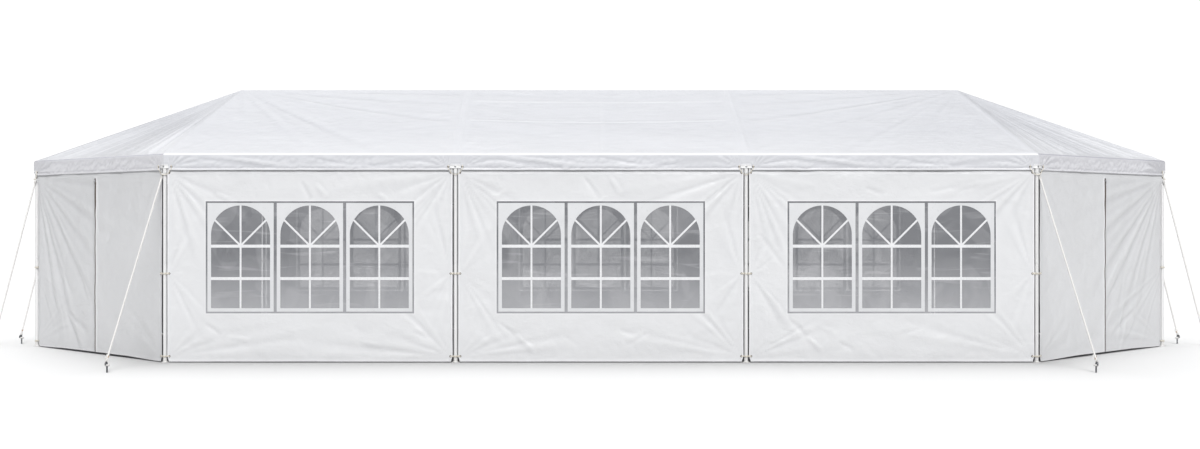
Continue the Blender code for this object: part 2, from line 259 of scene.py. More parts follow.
class Build:
    """Gathers the parts of one piece: points, faces, material numbers, flat coordinates and folds, the shade
    painted at each point.
    """

    def __init__(self):
        self.points, self.faces, self.slots, self.flats, self.folds = [], [], [], [], []
        self.count = 0

    def add(self, points, faces, slot=0, flat=None, painted_shade=None):
        """Add points and faces. slot is one material number for all of them, or one for each face."""
        points = np.asarray(points, float).reshape(-1, 3)
        self.points.append(points)
        self.flats.append(points[:, :2] if flat is None else np.asarray(flat, float).reshape(-1, 2))
        self.folds.append(np.zeros(len(points)) if painted_shade is None else np.asarray(painted_shade, float).ravel())
        self.faces += [tuple(int(i) + self.count for i in face) for face in faces]
        self.slots += list(slot) if hasattr(slot, "__len__") else [slot] * len(faces)
        self.count += len(points)

    def sweep(self, path, outline, slot=0, twist=0.0):
        """Add an outline carried along a path."""
        points, faces, flat = sweep(path, outline, twist)
        self.add(points, faces, slot, flat)

    def piece(self, name, materials, keys, sharp=None, weld=False):
        """Make the object with the named materials. Points that coincide become one where weld is set."""
        points, flats, folds = (np.concatenate(part) for part in (self.points, self.flats, self.folds))
        faces, slots = self.faces, self.slots
        loop_flats = flats[np.concatenate([np.asarray(face) for face in faces])]
        if weld:
            _, keep, back = np.unique(np.round(points, 5), axis=0, return_index=True, return_inverse=True)
            back = back.reshape(-1).tolist()
            faces, slots, used, start = [], [], [], 0
            for face, slot in zip(self.faces, self.slots):
                seen = {}
                for row, i in enumerate(face, start):
                    seen.setdefault(back[i], row)
                start += len(face)
                if len(seen) > 2:
                    faces.append(tuple(seen))
                    slots.append(slot)
                    used += seen.values()
            points, folds, loop_flats = points[keep], folds[keep], loop_flats[used]
        mesh = bpy.data.meshes.new(name)
        mesh.from_pydata(points.tolist(), [], faces)
        mesh.uv_layers.new(name="cloth").data.foreach_set("uv", loop_flats.astype(np.float32).ravel())
        # The shade painted at each point goes to the mesh, where the sheet materials read it.
        if np.any(folds):
            mesh.attributes.new("painted_shade", "FLOAT", "POINT").data.foreach_set("value", folds.astype(np.float32))
        mesh.polygons.foreach_set("material_index", slots)
        for key in keys:
            mesh.materials.append(materials[key])
        mesh.shade_smooth()
        if sharp:
            mesh.set_sharp_from_angle(angle=math.radians(sharp))
        return placed(name, mesh)


def grid_faces(rows, columns, keep=None):
    """Quads of a grid of points, without the cells that keep leaves out."""
    index = np.arange(rows * columns).reshape(rows, columns)
    quads = np.stack((index[:-1, :-1], index[:-1, 1:], index[1:, 1:], index[1:, :-1]), axis=-1)
    return quads[keep] if keep is not None else quads.reshape(-1, 4)


def lathe(profile, sides, matrix=None):
    """Points and faces of (radius, height) points turned round Z. A radius of 0 closes the end."""
    turn = 2 * math.pi * np.arange(sides) / sides
    points, rings = [], []
    for radius, height in profile:
        if radius == 0:
            rings.append([len(points)])
            points.append((0, 0, height))
            continue
        rings.append(list(range(len(points), len(points) + sides)))
        points += [(radius * math.cos(a), radius * math.sin(a), height) for a in turn]
    faces = []
    for low, high in zip(rings, rings[1:]):
        for i in range(sides):
            j = (i + 1) % sides
            if len(low) == 1:
                faces.append((low[0], high[j], high[i]))
            elif len(high) == 1:
                faces.append((low[i], low[j], high[0]))
            else:
                faces.append((low[i], low[j], high[j], high[i]))
    points = np.array(points, float)
    if matrix is not None:
        points = moved(points, matrix)
    return points, faces


def moved(points, matrix):
    """Points taken through a 4 x 4 matrix."""
    m = np.array(matrix, float)
    return np.asarray(points, float) @ m[:3, :3].T + m[:3, 3]


def aim(at, axis, turn=0.0):
    """A matrix that takes Z onto axis, at a point."""
    turned = Vector(axis).to_track_quat("Z", "Y").to_matrix().to_4x4() @ Matrix.Rotation(turn, 4, "Z")
    return Matrix.Translation(Vector(at)) @ turned


def sweep(path, outline, twist=0.0):
    """Points, faces and flat coordinates of an outline of (x, y) points carried along a path."""
    path = np.asarray(path, float)
    steps = len(path)
    far = travelled(path)
    ahead = unit(np.gradient(path, axis=0))
    side = np.cross(ahead[0], (0.0, 0.0, 1.0))
    if np.linalg.norm(side) < 0.1:
        side = np.cross(ahead[0], (1.0, 0.0, 0.0))
    across, tall = np.asarray(outline, float).T
    sides = len(across)
    points = np.zeros((steps, sides, 3))
    for step in range(steps):
        side = unit(side - ahead[step] * side.dot(ahead[step]))
        up = np.cross(side, ahead[step])
        c, s = math.cos(twist * far[step]), math.sin(twist * far[step])
        x, y = across * c - tall * s, across * s + tall * c
        points[step] = path[step] + x[:, None] * side + y[:, None] * up
    index = np.arange(steps * sides).reshape(steps, sides)
    after = np.roll(index, -1, axis=1)
    quads = np.stack((index[:-1], after[:-1], after[1:], index[1:]), axis=-1).reshape(-1, 4)
    faces = [tuple(face) for face in quads.tolist()]
    faces.append(tuple(index[0][::-1].tolist()))
    faces.append(tuple(index[-1].tolist()))
    flat = np.stack(np.broadcast_arrays(np.arange(sides)[None] / sides, far[:, None]), axis=-1)
    return points.reshape(-1, 3), faces, flat.reshape(-1, 2)


def unit(vectors):
    """Vectors at a length of 1."""
    return vectors / np.linalg.norm(vectors, axis=-1, keepdims=True)


def travelled(path):
    """The length along a path at each of its points."""
    return np.concatenate(([0], np.cumsum(np.linalg.norm(np.diff(path, axis=0), axis=1))))


def placed(name, data):
    """A new object in the scene."""
    made = bpy.data.objects.new(name, data)
    bpy.context.scene.collection.objects.link(made)
    return made


def circle(radius, sides):
    """Points round a circle."""
    turn = 2 * math.pi * np.arange(sides) / sides
    return np.stack((radius * np.cos(turn), radius * np.sin(turn)), axis=1)


def smooth_path(points, spacing):
    """A path through points, as a Catmull-Rom curve with evenly spaced steps."""
    points = np.asarray(points, float)
    padded = np.vstack((2 * points[0] - points[1], points, 2 * points[-1] - points[-2]))
    made = []
    for i in range(1, len(padded) - 2):
        p0, p1, p2, p3 = padded[i - 1:i + 3]
        count = max(2, int(np.linalg.norm(p2 - p1) / spacing * 2))
        t = np.linspace(0, 1, count, endpoint=False)[:, None]
        made.append(0.5 * (2 * p1 + (p2 - p0) * t + (2 * p0 - 5 * p1 + 4 * p2 - p3) * t ** 2
                           + (3 * p1 - p0 - 3 * p2 + p3) * t ** 3))
    made = np.vstack(made + [points[-1:]])
    far = travelled(made)
    even = np.linspace(0, far[-1], max(2, round(far[-1] / spacing) + 1))
    return np.stack([np.interp(even, far, made[:, k]) for k in range(3)], axis=1)


def lines(low, high, step, extra=(), edges=()):
    """Grid lines from low to high about step apart, with close ones at both ends and at given places."""
    count = max(1, round((high - low) / step))
    made = set(np.round(np.linspace(low, high, count + 1), 5))
    ends = (round(low, 5), round(high, 5))
    wanted = [low + e for e in edges] + [high - e for e in edges] + list(extra)
    for place in wanted:
        made = {value for value in made if abs(value - place) > step * 0.35 or value in ends}
    made |= {round(place, 5) for place in wanted if low <= place <= high}
    return np.array(sorted(made))


# Materials

TAPE_WIDTH = 0.0016
TAPE_DEPTH = 0.00006


class Shader:
    """A node material with a Principled shader and short ways to add to it."""

    def __init__(self, name, colour, roughness, metallic=0.0):
        self.material = bpy.data.materials.new(name)
        self.material.use_nodes = True
        self.tree = self.material.node_tree
        self.main = self.tree.nodes["Principled BSDF"]
        self.output = self.tree.nodes["Material Output"]
        self.set(Base_Color=(*colour, 1), Roughness=roughness, Metallic=metallic)
        self.colour = colour
        self.normal = None

    def set(self, **values):
        """Give inputs of the Principled shader their values."""
        for name, value in values.items():
            self.main.inputs[name.replace("_", " ")].default_value = value

    def feed(self, socket, value):
        """Give an input a value, or link it to another node's output."""
        if isinstance(value, bpy.types.NodeSocket):
            self.tree.links.new(value, socket)
        else:
            socket.default_value = value

    def node(self, kind, inputs=(), **settings):
        """A new node with its settings, and its inputs by name."""
        made = self.tree.nodes.new("ShaderNode" + kind)
        for name, value in settings.items():
            setattr(made, name, value)
        for name, value in dict(inputs).items():
            self.feed(made.inputs[name], value)
        return made

    def where(self, scale=(1, 1, 1), cloth=False, turn=0.0):
        """Coordinates in metres, times scale: in the frame, or flat on the cloth."""
        if cloth:
            source = self.node("UVMap", uv_map="cloth").outputs["UV"]
        else:
            source = self.node("TexCoord").outputs["Object"]
        mapping = self.node("Mapping", {"Vector": source, "Scale": scale, "Rotation": (0, 0, turn)})
        return mapping.outputs["Vector"]

    def part(self, where, axis):
        """One of the X, Y and Z of coordinates."""
        return self.node("SeparateXYZ", {"Vector": where}).outputs[axis]

    def noise(self, size, where, detail=2.0, rough=0.5, distortion=0.0):
        inputs = {"Vector": where, "Scale": size, "Detail": detail, "Roughness": rough}
        return self.node("TexNoise", {**inputs, "Distortion": distortion}).outputs["Fac"]

    def math(self, operation, a, b=0.0, c=0.0, clamp=False):
        made = self.node("Math", operation=operation, use_clamp=clamp)
        for socket, value in zip(made.inputs, (a, b, c)):
            self.feed(socket, value)
        return made.outputs[0]

    def between(self, value, low, high, to_low=0.0, to_high=1.0):
        """A value taken from low and high to another pair of ends."""
        inputs = {"Value": value, "From Min": low, "From Max": high, "To Min": to_low, "To Max": to_high}
        return self.node("MapRange", inputs).outputs["Result"]

    def bump(self, height, distance):
        """Add relief on top of what the normal holds so far."""
        inputs = {"Height": height, "Distance": distance, "Strength": 1.0}
        if self.normal is not None:
            inputs["Normal"] = self.normal
        self.normal = self.node("Bump", inputs).outputs["Normal"]
        self.feed(self.main.inputs["Normal"], self.normal)

    def tint(self, share, colour):
        """Mix another colour into the base colour by a 0 to 1 share."""
        base = self.main.inputs["Base Color"]
        mix = self.node("Mix", {"Factor": share}, data_type="RGBA")
        first, second = (socket for socket in mix.inputs if socket.type == "RGBA")
        self.feed(first, base.links[0].from_socket if base.is_linked else (*self.colour, 1))
        self.feed(second, (*colour, 1))
        self.feed(base, next(socket for socket in mix.outputs if socket.type == "RGBA"))

    def patches(self, size, where, detail, low, high, colour):
        """Uneven patches of another colour."""
        self.tint(self.between(self.noise(size, where, detail), low, high), colour)

    def rough(self, share, low, high):
        """Uneven roughness from low to high."""
        self.feed(self.main.inputs["Roughness"], self.between(share, 0.3, 0.7, low, high))

    def through(self, share, colour):
        """Let some light through the sheet."""
        pass_on = self.node("BsdfTranslucent", {"Color": (*colour, 1)})
        if self.normal is not None:
            self.feed(pass_on.inputs["Normal"], self.normal)
        mix = self.node("MixShader", {"Fac": share})
        self.feed(mix.inputs[1], self.main.outputs[0])
        self.feed(mix.inputs[2], pass_on.outputs[0])
        self.feed(self.output.inputs["Surface"], mix.outputs[0])


def woven_sheet(name, colour, share_through, crinkle, stretch, turn=0.0, lift=(0.0, 1.5, 0.0)):
    """Coated white woven sheet. lift is two heights on the cloth and how much whiter the lower one is
    painted, a painted light that fades towards the higher one.
    """
    shader = Shader(name, colour, 0.42)
    cloth = shader.where(cloth=True)
    fine = shader.where((stretch, 1, 1), cloth=True, turn=turn)
    mask = shader.between(shader.noise(1.7, fine, 3.0), 0.38, 0.66)
    for size, detail, rough, distortion, uneven, depth in ((9.0, 4.0, 0.58, 0.4, 0.7, 1.0),
                                                           (34.0, 3.0, 0.6, 0.6, 0.8, 0.28)):
        crinkles = shader.math("SUBTRACT", shader.noise(size, fine, detail, rough, distortion), 0.5)
        patchy = shader.math("MULTIPLY_ADD", mask, uneven, 1 - uneven)
        shader.bump(shader.math("MULTIPLY", shader.math("ABSOLUTE", crinkles), patchy), crinkle * depth)
    tapes = [shader.math("SINE", shader.math("MULTIPLY", shader.part(cloth, axis), math.pi / TAPE_WIDTH))
             for axis in "XY"]
    shader.bump(shader.math("MULTIPLY", *tapes), TAPE_DEPTH)
    clouds = shader.between(shader.noise(2.2, cloth, 4.0, 0.6), 0.35, 0.75)
    shader.tint(clouds, tuple(0.965 * value for value in colour))
    # Painted shade read from the mesh: darker in the valleys of folds and where a panel lies in shade,
    # lighter on ridges and where light is painted on.
    painted_shade = shader.node("Attribute", attribute_name="painted_shade").outputs["Fac"]
    shader.tint(shader.math("MULTIPLY", painted_shade, -0.16, clamp=True), (0.0, 0.0, 0.02))
    shader.tint(shader.math("MULTIPLY", painted_shade, 0.16, clamp=True), (1.0, 1.0, 1.0))
    # Painted light: the sheet is whiter towards the lower of the two heights.
    low, high, share = lift
    shader.tint(shader.between(shader.part(cloth, "Y"), low, high, share, 0.0), (1.0, 1.0, 1.0))
    shader.rough(shader.noise(14.0, fine, 3.0), 0.36, 0.50)
    shader.set(Specular_IOR_Level=0.45)
    if share_through:
        shader.through(share_through, colour)
    return shader.material


def wound(shader, strands, turns, depth):
    """Strands wound round a cord, at one or two numbers of turns along it."""
    where = shader.where(cloth=True)
    around = shader.math("MULTIPLY", shader.part(where, "X"), 2 * math.pi * strands)
    waves = [shader.math("SINE", shader.math("MULTIPLY_ADD", shader.part(where, "Y"), turn, around))
             for turn in turns]
    shader.bump(shader.math("MULTIPLY", *waves) if len(waves) == 2 else waves[0], depth)


def grained(shader, grain, patches, gloss=None, cloth=False, scale=(1, 1, 1)):
    """Add grain (size, detail, depth), patches (size, detail, from, to, colour) and uneven gloss."""
    where = shader.where(scale, cloth)
    if grain:
        shader.bump(shader.noise(grain[0], where, grain[1]), grain[2])
    shader.patches(patches[0], where, *patches[1:])
    if gloss:
        shader.rough(shader.noise(gloss[0], shader.where(cloth=cloth), gloss[1]), *gloss[2:])
    return shader.material


def powder_coat(name, colour):
    """Painted steel tube with orange peel, and some dust near the ground."""
    steel = Shader(name, colour, 0.32)
    where = steel.where()
    steel.bump(steel.noise(900.0, where), 0.00008)
    steel.bump(steel.noise(160.0, where), 0.00010)
    low = steel.between(steel.part(where, "Z"), 0.10, 0.0)
    dust = steel.math("MULTIPLY", low, steel.between(steel.noise(60.0, where, 4.0), 0.35, 0.7))
    steel.tint(dust, (0.62, 0.60, 0.57))
    steel.rough(steel.noise(25.0, where, 3.0), 0.26, 0.40)
    steel.set(Coat_Weight=0.25, Coat_Roughness=0.12)
    return steel.material


def clear_film(name, colour):
    """Clear film with a painted reflection that makes it paler near its foot, and with lighter patches and
    streaks.
    """
    film = Shader(name, colour, 0.10)
    where = film.where((1, 0.6, 1), cloth=True)
    film.bump(film.noise(3.2, where, 2.0, 0.45, 0.8), 0.030)
    film.bump(film.noise(26.0, where), 0.0006)
    # Painted reflection: the film is paler towards its foot.
    film.tint(film.between(film.part(where, "Y"), 0.27, 0.62, 0.90, 0.0), (0.47, 0.475, 0.495))
    for size, edge, share in ((1.1, 0.54, 0.13), (2.0, 0.58, 0.12)):
        pale_patch = film.noise(size, film.where((1.2, 1, 1), cloth=True, turn=size), 1.0, 0.4, 1.6)
        film.tint(film.between(pale_patch, edge, edge + 0.05, 0.0, share), (0.62, 0.62, 0.64))
    streak = film.noise(5.0, film.where((0.35, 3.0, 1), cloth=True), 2.0, 0.5, 0.8)
    film.tint(film.between(streak, 0.60, 0.70, 0.0, 0.25), (0.60, 0.60, 0.62))
    film.rough(film.noise(9.0, where), 0.06, 0.16)
    film.set(Alpha=0.72, IOR=1.53)
    return film.material


def make_materials():
    """All materials by their short names."""
    roof_painted_light = (0.05, 0.90, 0.14)
    made = {
        "roof": woven_sheet("roof_sheet", (0.635, 0.645, 0.68), 0.05, 0.0190, 0.30, lift=roof_painted_light),
        "seam": woven_sheet("double_seam", (0.640, 0.650, 0.685), 0.05, 0.0150, 0.3, lift=roof_painted_light),
        # The skirt's sheet is painted darker on the long sides than on the corner and end sides, a painted
        # shade.
        "valance": woven_sheet("valance_sheet", (0.555, 0.562, 0.59), 0.04, 0.0100, 0.55),
        "valance_side": woven_sheet("valance_side_sheet", (0.66, 0.66, 0.69), 0.04, 0.0100, 0.55),
        # The wall sheet is painted whiter towards its foot, a painted light.
        "wall": woven_sheet("wall_sheet", (0.632, 0.637, 0.65), 0.05, 0.0085, 0.75, 0.6, (0.0, 1.7, 0.10)),
        "hem": woven_sheet("welded_hem", (0.69, 0.69, 0.705), 0.0, 0.0015, 0.8),
        # Dark violet line painted as shade along the eave of the corner and end sides.
        "eave_shade_line": woven_sheet("painted_eave_shade", (0.44, 0.44, 0.50), 0.0, 0.0040, 0.8),
        # Bright band painted as the highlight along the bend over the eave on the long sides.
        "edge": woven_sheet("painted_eave_highlight", (0.76, 0.76, 0.775), 0.0, 0.0020, 0.8),
        "skirt_hem": woven_sheet("skirt_hem", (0.66, 0.66, 0.675), 0.0, 0.0020, 0.8),
        "film": clear_film("clear_film", (0.225, 0.23, 0.245)),
        "steel": powder_coat("white_powder_coat", (0.67, 0.67, 0.67)),
        "ink": grained(Shader("printed_white", (0.60, 0.605, 0.62), 0.30), (30, 3, 0.0006),
                       (5, 3, 0.35, 0.70, (0.57, 0.575, 0.59)), (40, 2, 0.26, 0.36), cloth=True),
        "bar": grained(Shader("printed_bar", (0.68, 0.68, 0.695), 0.28), (30, 3, 0.0006),
                       (5, 3, 0.35, 0.70, (0.64, 0.645, 0.66)), (40, 2, 0.22, 0.32), cloth=True),
        "eyelet": grained(Shader("eyelet_metal", (0.12, 0.095, 0.07), 0.42, 1.0), (700, 2, 0.00005),
                          (500, 3, 0.40, 0.70, (0.06, 0.05, 0.04)), (350, 2, 0.34, 0.54)),
        # A dark disc painted as the shade inside an eyelet's hole.
        "hole_shade": grained(Shader("painted_eyelet_hole_shade", (0.05, 0.045, 0.04), 0.8), (400, 2, 0.0001),
                        (300, 2, 0.40, 0.70, (0.08, 0.07, 0.06))),
        "bolt": grained(Shader("zinc_fastener", (0.48, 0.49, 0.51), 0.30, 1.0), (900, 2, 0.00005),
                        (260, 3, 0.45, 0.70, (0.34, 0.34, 0.35)), (300, 2, 0.24, 0.44)),
        "slider": grained(Shader("rope_slider", (0.42, 0.30, 0.21), 0.50), (260, 3, 0.0002),
                          (120, 3, 0.40, 0.70, (0.30, 0.21, 0.15)), (90, 2, 0.42, 0.58), scale=(1, 1, 0.2)),
        "stake": grained(Shader("blued_steel", (0.11, 0.125, 0.15), 0.33, 1.0), (500, 3, 0.0001),
                         (110, 4, 0.50, 0.72, (0.26, 0.22, 0.19)), (150, 3, 0.24, 0.50)),
        "teeth": grained(Shader("zip_coil", (0.16, 0.13, 0.11), 0.42), (900, 2, 0.0001),
                         (200, 2, 0.40, 0.70, (0.24, 0.20, 0.17)), (200, 2, 0.34, 0.50)),
        "tape": grained(Shader("zip_tape", (0.115, 0.095, 0.08), 0.80), (1400, 2, 0.0002),
                        (90, 3, 0.35, 0.70, (0.16, 0.135, 0.115)), cloth=True),
    }
    elastic = Shader("elastic_cord", (0.74, 0.70, 0.62), 0.75)
    elastic.set(Sheen_Weight=0.3)
    wound(elastic, 4, (1900.0, -1900.0), 0.00025)
    made["elastic"] = grained(elastic, None, (300, 2, 0.35, 0.70, (0.60, 0.56, 0.48)))
    rope = Shader("polyester_rope", (0.72, 0.71, 0.695), 0.80)
    rope.set(Sheen_Weight=0.25)
    wound(rope, 9, (1500.0,), 0.00006)
    made["rope"] = grained(rope, (900, 2, 0.0001), (220, 3, 0.40, 0.75, (0.67, 0.66, 0.645)))
    strap = Shader("web_strap", (0.80, 0.80, 0.80), 0.62)
    ribs = strap.math("MULTIPLY", strap.part(strap.where(cloth=True), "X"), 2 * math.pi / 0.0022)
    strap.bump(strap.math("SINE", ribs), 0.0002)
    made["strap"] = grained(strap, None, (60, 3, 0.35, 0.70, (0.74, 0.74, 0.74)), cloth=True)
    return made


# Roof

ROOF_STEP = 0.037
ROOF_END_STEP = 0.020
ROOF_EDGE = 0.06
# From the middle of a seam, where its thickness starts and ends to fade
SEAM_EDGE = (0.036, 0.039)
# Packing folds along a long side: how far up the slope each lies, and its height
CROSS_FOLDS = ((1.25, 0.0035), (2.04, 0.0028))
RIDGE_END_RAYS = (
    (-4, 2.6, 1.6, -0.26), (-8, 2.2, 2.0, 0.20), (-14, 2.0, 1.6, -0.24), (-19, 2.0, 2.2, 0.16),
    (-29, 2.3, 1.7, -0.42), (-33, 1.9, 2.2, 0.30), (-44, 1.6, 1.8, -0.30), (-48, 1.4, 2.4, 0.20),
    (-57, 2.0, 1.5, -0.46), (-61, 1.7, 2.0, 0.34), (-70, 1.1, 1.8, -0.34), (-79, 0.8, 1.8, -0.30),
)
SEAM_RAYS = (
    (-4, 0.9, 3.0, -0.08), (-12, 0.8, 4.0, 0.07), (-24, 0.5, 4.0, -0.05),
    (-176, 0.9, 3.0, -0.08), (-168, 0.8, 4.0, 0.07), (-155, 0.5, 4.0, -0.05),
)
# Lighter lines painted across an end panel of the roof: where each lies from the tip, and how much lighter.
END_SHADE_LINES = ((0.26, 0.5), (0.33, 0.4), (0.42, 0.8), (0.49, 0.6), (0.62, 0.4), (0.69, 0.7), (0.80, 0.5))
SKIRT_THICK = 0.0012
SKIRT_SHARES = np.array((0, 0.055, 0.10, 0.125, 0.20, 0.30, 0.40, 0.50, 0.60, 0.70, 0.80, 0.90, 1.0))
ARC_STEPS = 6


def roof_top(index):
    """The two ends of a roof panel's upper edge, on the ridge."""
    ends = (ROOF_TOP_X[index], ROOF_TOP_X[(index + 1) % len(ROOF_TOP_X)])
    return [np.array((x, 0, RIDGE_Z)) for x in ends]


def long_side_relief(x, q, height, seed):
    """Height of the folds on a long side of the roof. x runs along the ridge, q up the slope."""
    rng = np.random.default_rng(seed)
    relief = 0.0090 * noise(x / 1.1, q / 0.5, seed) + 0.0075 * crumple(x, q, 0.30, seed + 1, 0.1, 2.6)
    relief += 0.0038 * crumple(x, q, 0.13, seed + 2, -0.15, 2.8)
    patch = ramp(1.2, 3.0, np.abs(x)) * (1 - ramp(1.5, 2.3, q))
    relief += 0.0050 * patch * crumple(x, q, 0.10, seed + 3, 0.3, 1.4)
    for sign in (-1, 1):
        turned = [(turn * rng.uniform(0.92, 1.06), reach * rng.uniform(0.8, 1.1), spread, slope)
                  for turn, reach, spread, slope in RIDGE_END_RAYS]
        relief += 0.85 * fan(x * -sign, q, (-RIDGE_HALF, height), turned)
    for x_seam in SEAM_TOP_X:
        relief += 2.2 * fan(x, q, (x_seam, height), SEAM_RAYS)
    for x_post in (-4.125, -1.375, 1.375, 4.125):
        relief += fan(x, q, (x_post, 0.0), random_rays(rng, 12, 168, 9, 0.42, 0.17))
    for q_line, rise in CROSS_FOLDS:
        relief += rise * bell(q - q_line, 0.010) * ramp(0.0, 0.5, 1.6 - np.abs(x))
    return relief + 0.0028 * bell(x - 0.02, 0.010)


def end_relief(t, q, length, height, seed):
    """Height of the folds on an end panel of the roof: streaks that run down from the ridge."""
    rng = np.random.default_rng(seed)
    relief = 0.012 * noise(t * length / 0.9 + 3.0, t * 0 + 0.5, seed)
    count = max(3, round(length / 0.15))
    for index in range(count):
        centre = (index + rng.uniform(0.2, 0.8)) / count
        spread = rng.uniform(0.16, 0.36) / count
        relief += (1 if index % 2 else -1) * rng.uniform(0.005, 0.015) * bell(t - centre, spread)
    for _ in range(round(length / 0.20)):
        relief += rng.uniform(0.002, 0.005) * bell(t - rng.uniform(0.03, 0.97), 0.008)
    down = 1 - q / height
    relief *= down * ramp(0.0, 0.12, down)
    u = t * length
    relief += 0.0045 * crumple(u, q, 0.16, seed + 3, 1.2, 2.0)
    pucker = 0.0090 * crumple(u, q, 0.07, seed + 4, 1.15, 2.6)
    return relief + pucker * (1 - ramp(0.05, 0.45, q))


def end_shade(from_tip, up, left):
    """Painted shade and light of a narrowed end panel, from its tip to its front post and from its eave up to
    the ridge.
    """
    # The left end is painted darker than the right, less so near its front post and up by the ridge.
    base = -1.15 + 0.75 * np.maximum(ramp(0.72, 0.92, from_tip), ramp(0.45, 0.85, up)) if left else -0.08
    shade = base - 0.30 * bell(from_tip - 0.56, 0.15)
    shade = shade + 1.05 * bell(from_tip - 0.19, 0.15) * (1 - ramp(0.25, 0.70, up))
    shade = shade + 0.85 * ramp(0.66, 0.86, from_tip) * (1 - ramp(0.12, 0.50, up))
    for line, share in END_SHADE_LINES:
        shade = shade + share * bell(from_tip - line, 0.009)
    return shade - 0.7 * bell(from_tip, 0.022)


def roof_columns(index, length):
    """Distances along a roof panel's eave, close together beside its seams."""
    middle = (-0.032, -0.020, -0.008, 0.008, 0.020, 0.032) if index in (1, 7) else ()
    step = ROOF_STEP if index in LONG_SIDES else ROOF_END_STEP
    base = lines(0, length, step, [length / 2 + away for away in middle], edges=(0.010, 0.022, *SEAM_EDGE))
    base = (base + length - base[::-1]) / 2
    base[[0, -1]] = 0.0, length
    return base


def roof_places(base, length, width):
    """Places along the rows of a roof panel and their shares of its width, edges parallel to the seams."""
    fixed = np.minimum(1.0, width / (0.35 * length))
    inner = (base - ROOF_EDGE) / (length - 2 * ROOF_EDGE) * (width - 2 * ROOF_EDGE * fixed)
    inner = inner + ROOF_EDGE * fixed
    place = np.where(base > length - ROOF_EDGE, width - (length - base) * fixed, inner)
    place = np.where(base < ROOF_EDGE, base * fixed, place)
    return place, np.where(width < 1e-6, base / length, place / np.maximum(width, 1e-6))


def seam_cells(index, place, width):
    """1 for the cells of a long side's panel that lie in a seam, else 0. Its hips count as no seam."""
    first_hip, last_hip = 9.0 * (index in (0, 6)), 9.0 * (index in (2, 8))
    near = np.minimum(place + first_hip, width - place + last_hip)
    middles = (near[:-1, :-1] + near[1:, 1:] + near[:-1, 1:] + near[1:, :-1]) / 4
    return (middles < 0.038).astype(int).ravel()


def make_roof(materials):
    """The roof's sheet: one panel above each side, welded along the hips, the ridge and the seams."""
    build = Build()
    out, rise = EAVE_OUT - ARC_R + ARC_R * math.cos(ARC_END), ARC_Z + ARC_R * math.sin(ARC_END)
    slope = math.hypot(RING[6][1] + out, RIDGE_Z - rise)
    extra = [line + away for line, _ in CROSS_FOLDS for away in (-0.012, 0, 0.012)]
    shares = lines(0, slope, ROOF_STEP, extra, edges=(0.010, 0.026)) / slope
    shares[-1] = 1.0
    for index in range(len(SIDES)):
        low_a, low_b = (np.append(corner(at, out), rise) for at in (index, index + 1))
        high_a, high_b = roof_top(index)
        upward = (high_a + high_b) / 2 - (low_a + low_b) / 2
        height = float(np.linalg.norm(upward))
        length = float(np.linalg.norm(low_b - low_a))
        q = shares * height
        left = low_a + (high_a - low_a) * shares[:, None]
        right = low_b + (high_b - low_b) * shares[:, None]
        width = np.linalg.norm(right - left, axis=1)[:, None]
        place, t = roof_places(roof_columns(index, length), length, width)
        points = left[:, None] + (right - left)[:, None] * t[..., None]
        rows = np.broadcast_to(q[:, None], t.shape)
        if index in LONG_SIDES:
            x = points[..., 0] if index < 6 else -points[..., 0]
            relief = long_side_relief(x, rows, height, 40 if index < 6 else 60)
            slots = seam_cells(index, place, width)
        else:
            relief = end_relief(t, rows, length, height, 80 + index)
            slots = 0
        sag = 0.020 * np.sin(np.pi * t) * np.clip(np.sin(np.pi * rows / height), 0, 1) ** 0.8
        relief = relief - sag
        seam = np.minimum(place, width - place)
        rest = np.minimum(seam, np.minimum(rows, height - rows))
        relief = np.where(relief < 0, relief * ramp(0.015, 0.14, rest), relief * ramp(0.0, 0.05, rest))
        relief = relief + 0.0009 * (1 - ramp(*SEAM_EDGE, seam)) * ramp(0.0, 0.010, seam)
        relief = relief * ramp(0.0, 0.010, height - rows)
        # Painted shade on the roof: darker in the valleys of its folds, lighter on their ridges; on the end
        # panels also the painted shade and light of end_shade.
        painted_shade = hollow(relief + sag, np.linspace(0, length, t.shape[1]), q, 7.0) * ramp(0.05, 0.12, rest)
        if index in TIP_SIGN:
            painted_shade = 0.8 * painted_shade + end_shade(t if index in (5, 11) else 1 - t, rows / height, index > 8)
            painted_shade = np.clip(painted_shade, -1.4, 1.0) * ramp(0.0, 0.05, 1 - rows / height)
        normal = unit(np.cross(low_b - low_a, upward))
        flat = np.stack((place - width / 2 + 3 * index, rows), axis=-1)
        build.add(points + normal * relief[..., None], grid_faces(*t.shape), slots, flat, painted_shade)
    roof = build.piece("canopy_roof", materials, ("roof", "seam"), weld=True)
    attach(roof, "root")
    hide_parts("roof_canopy")
    return roof


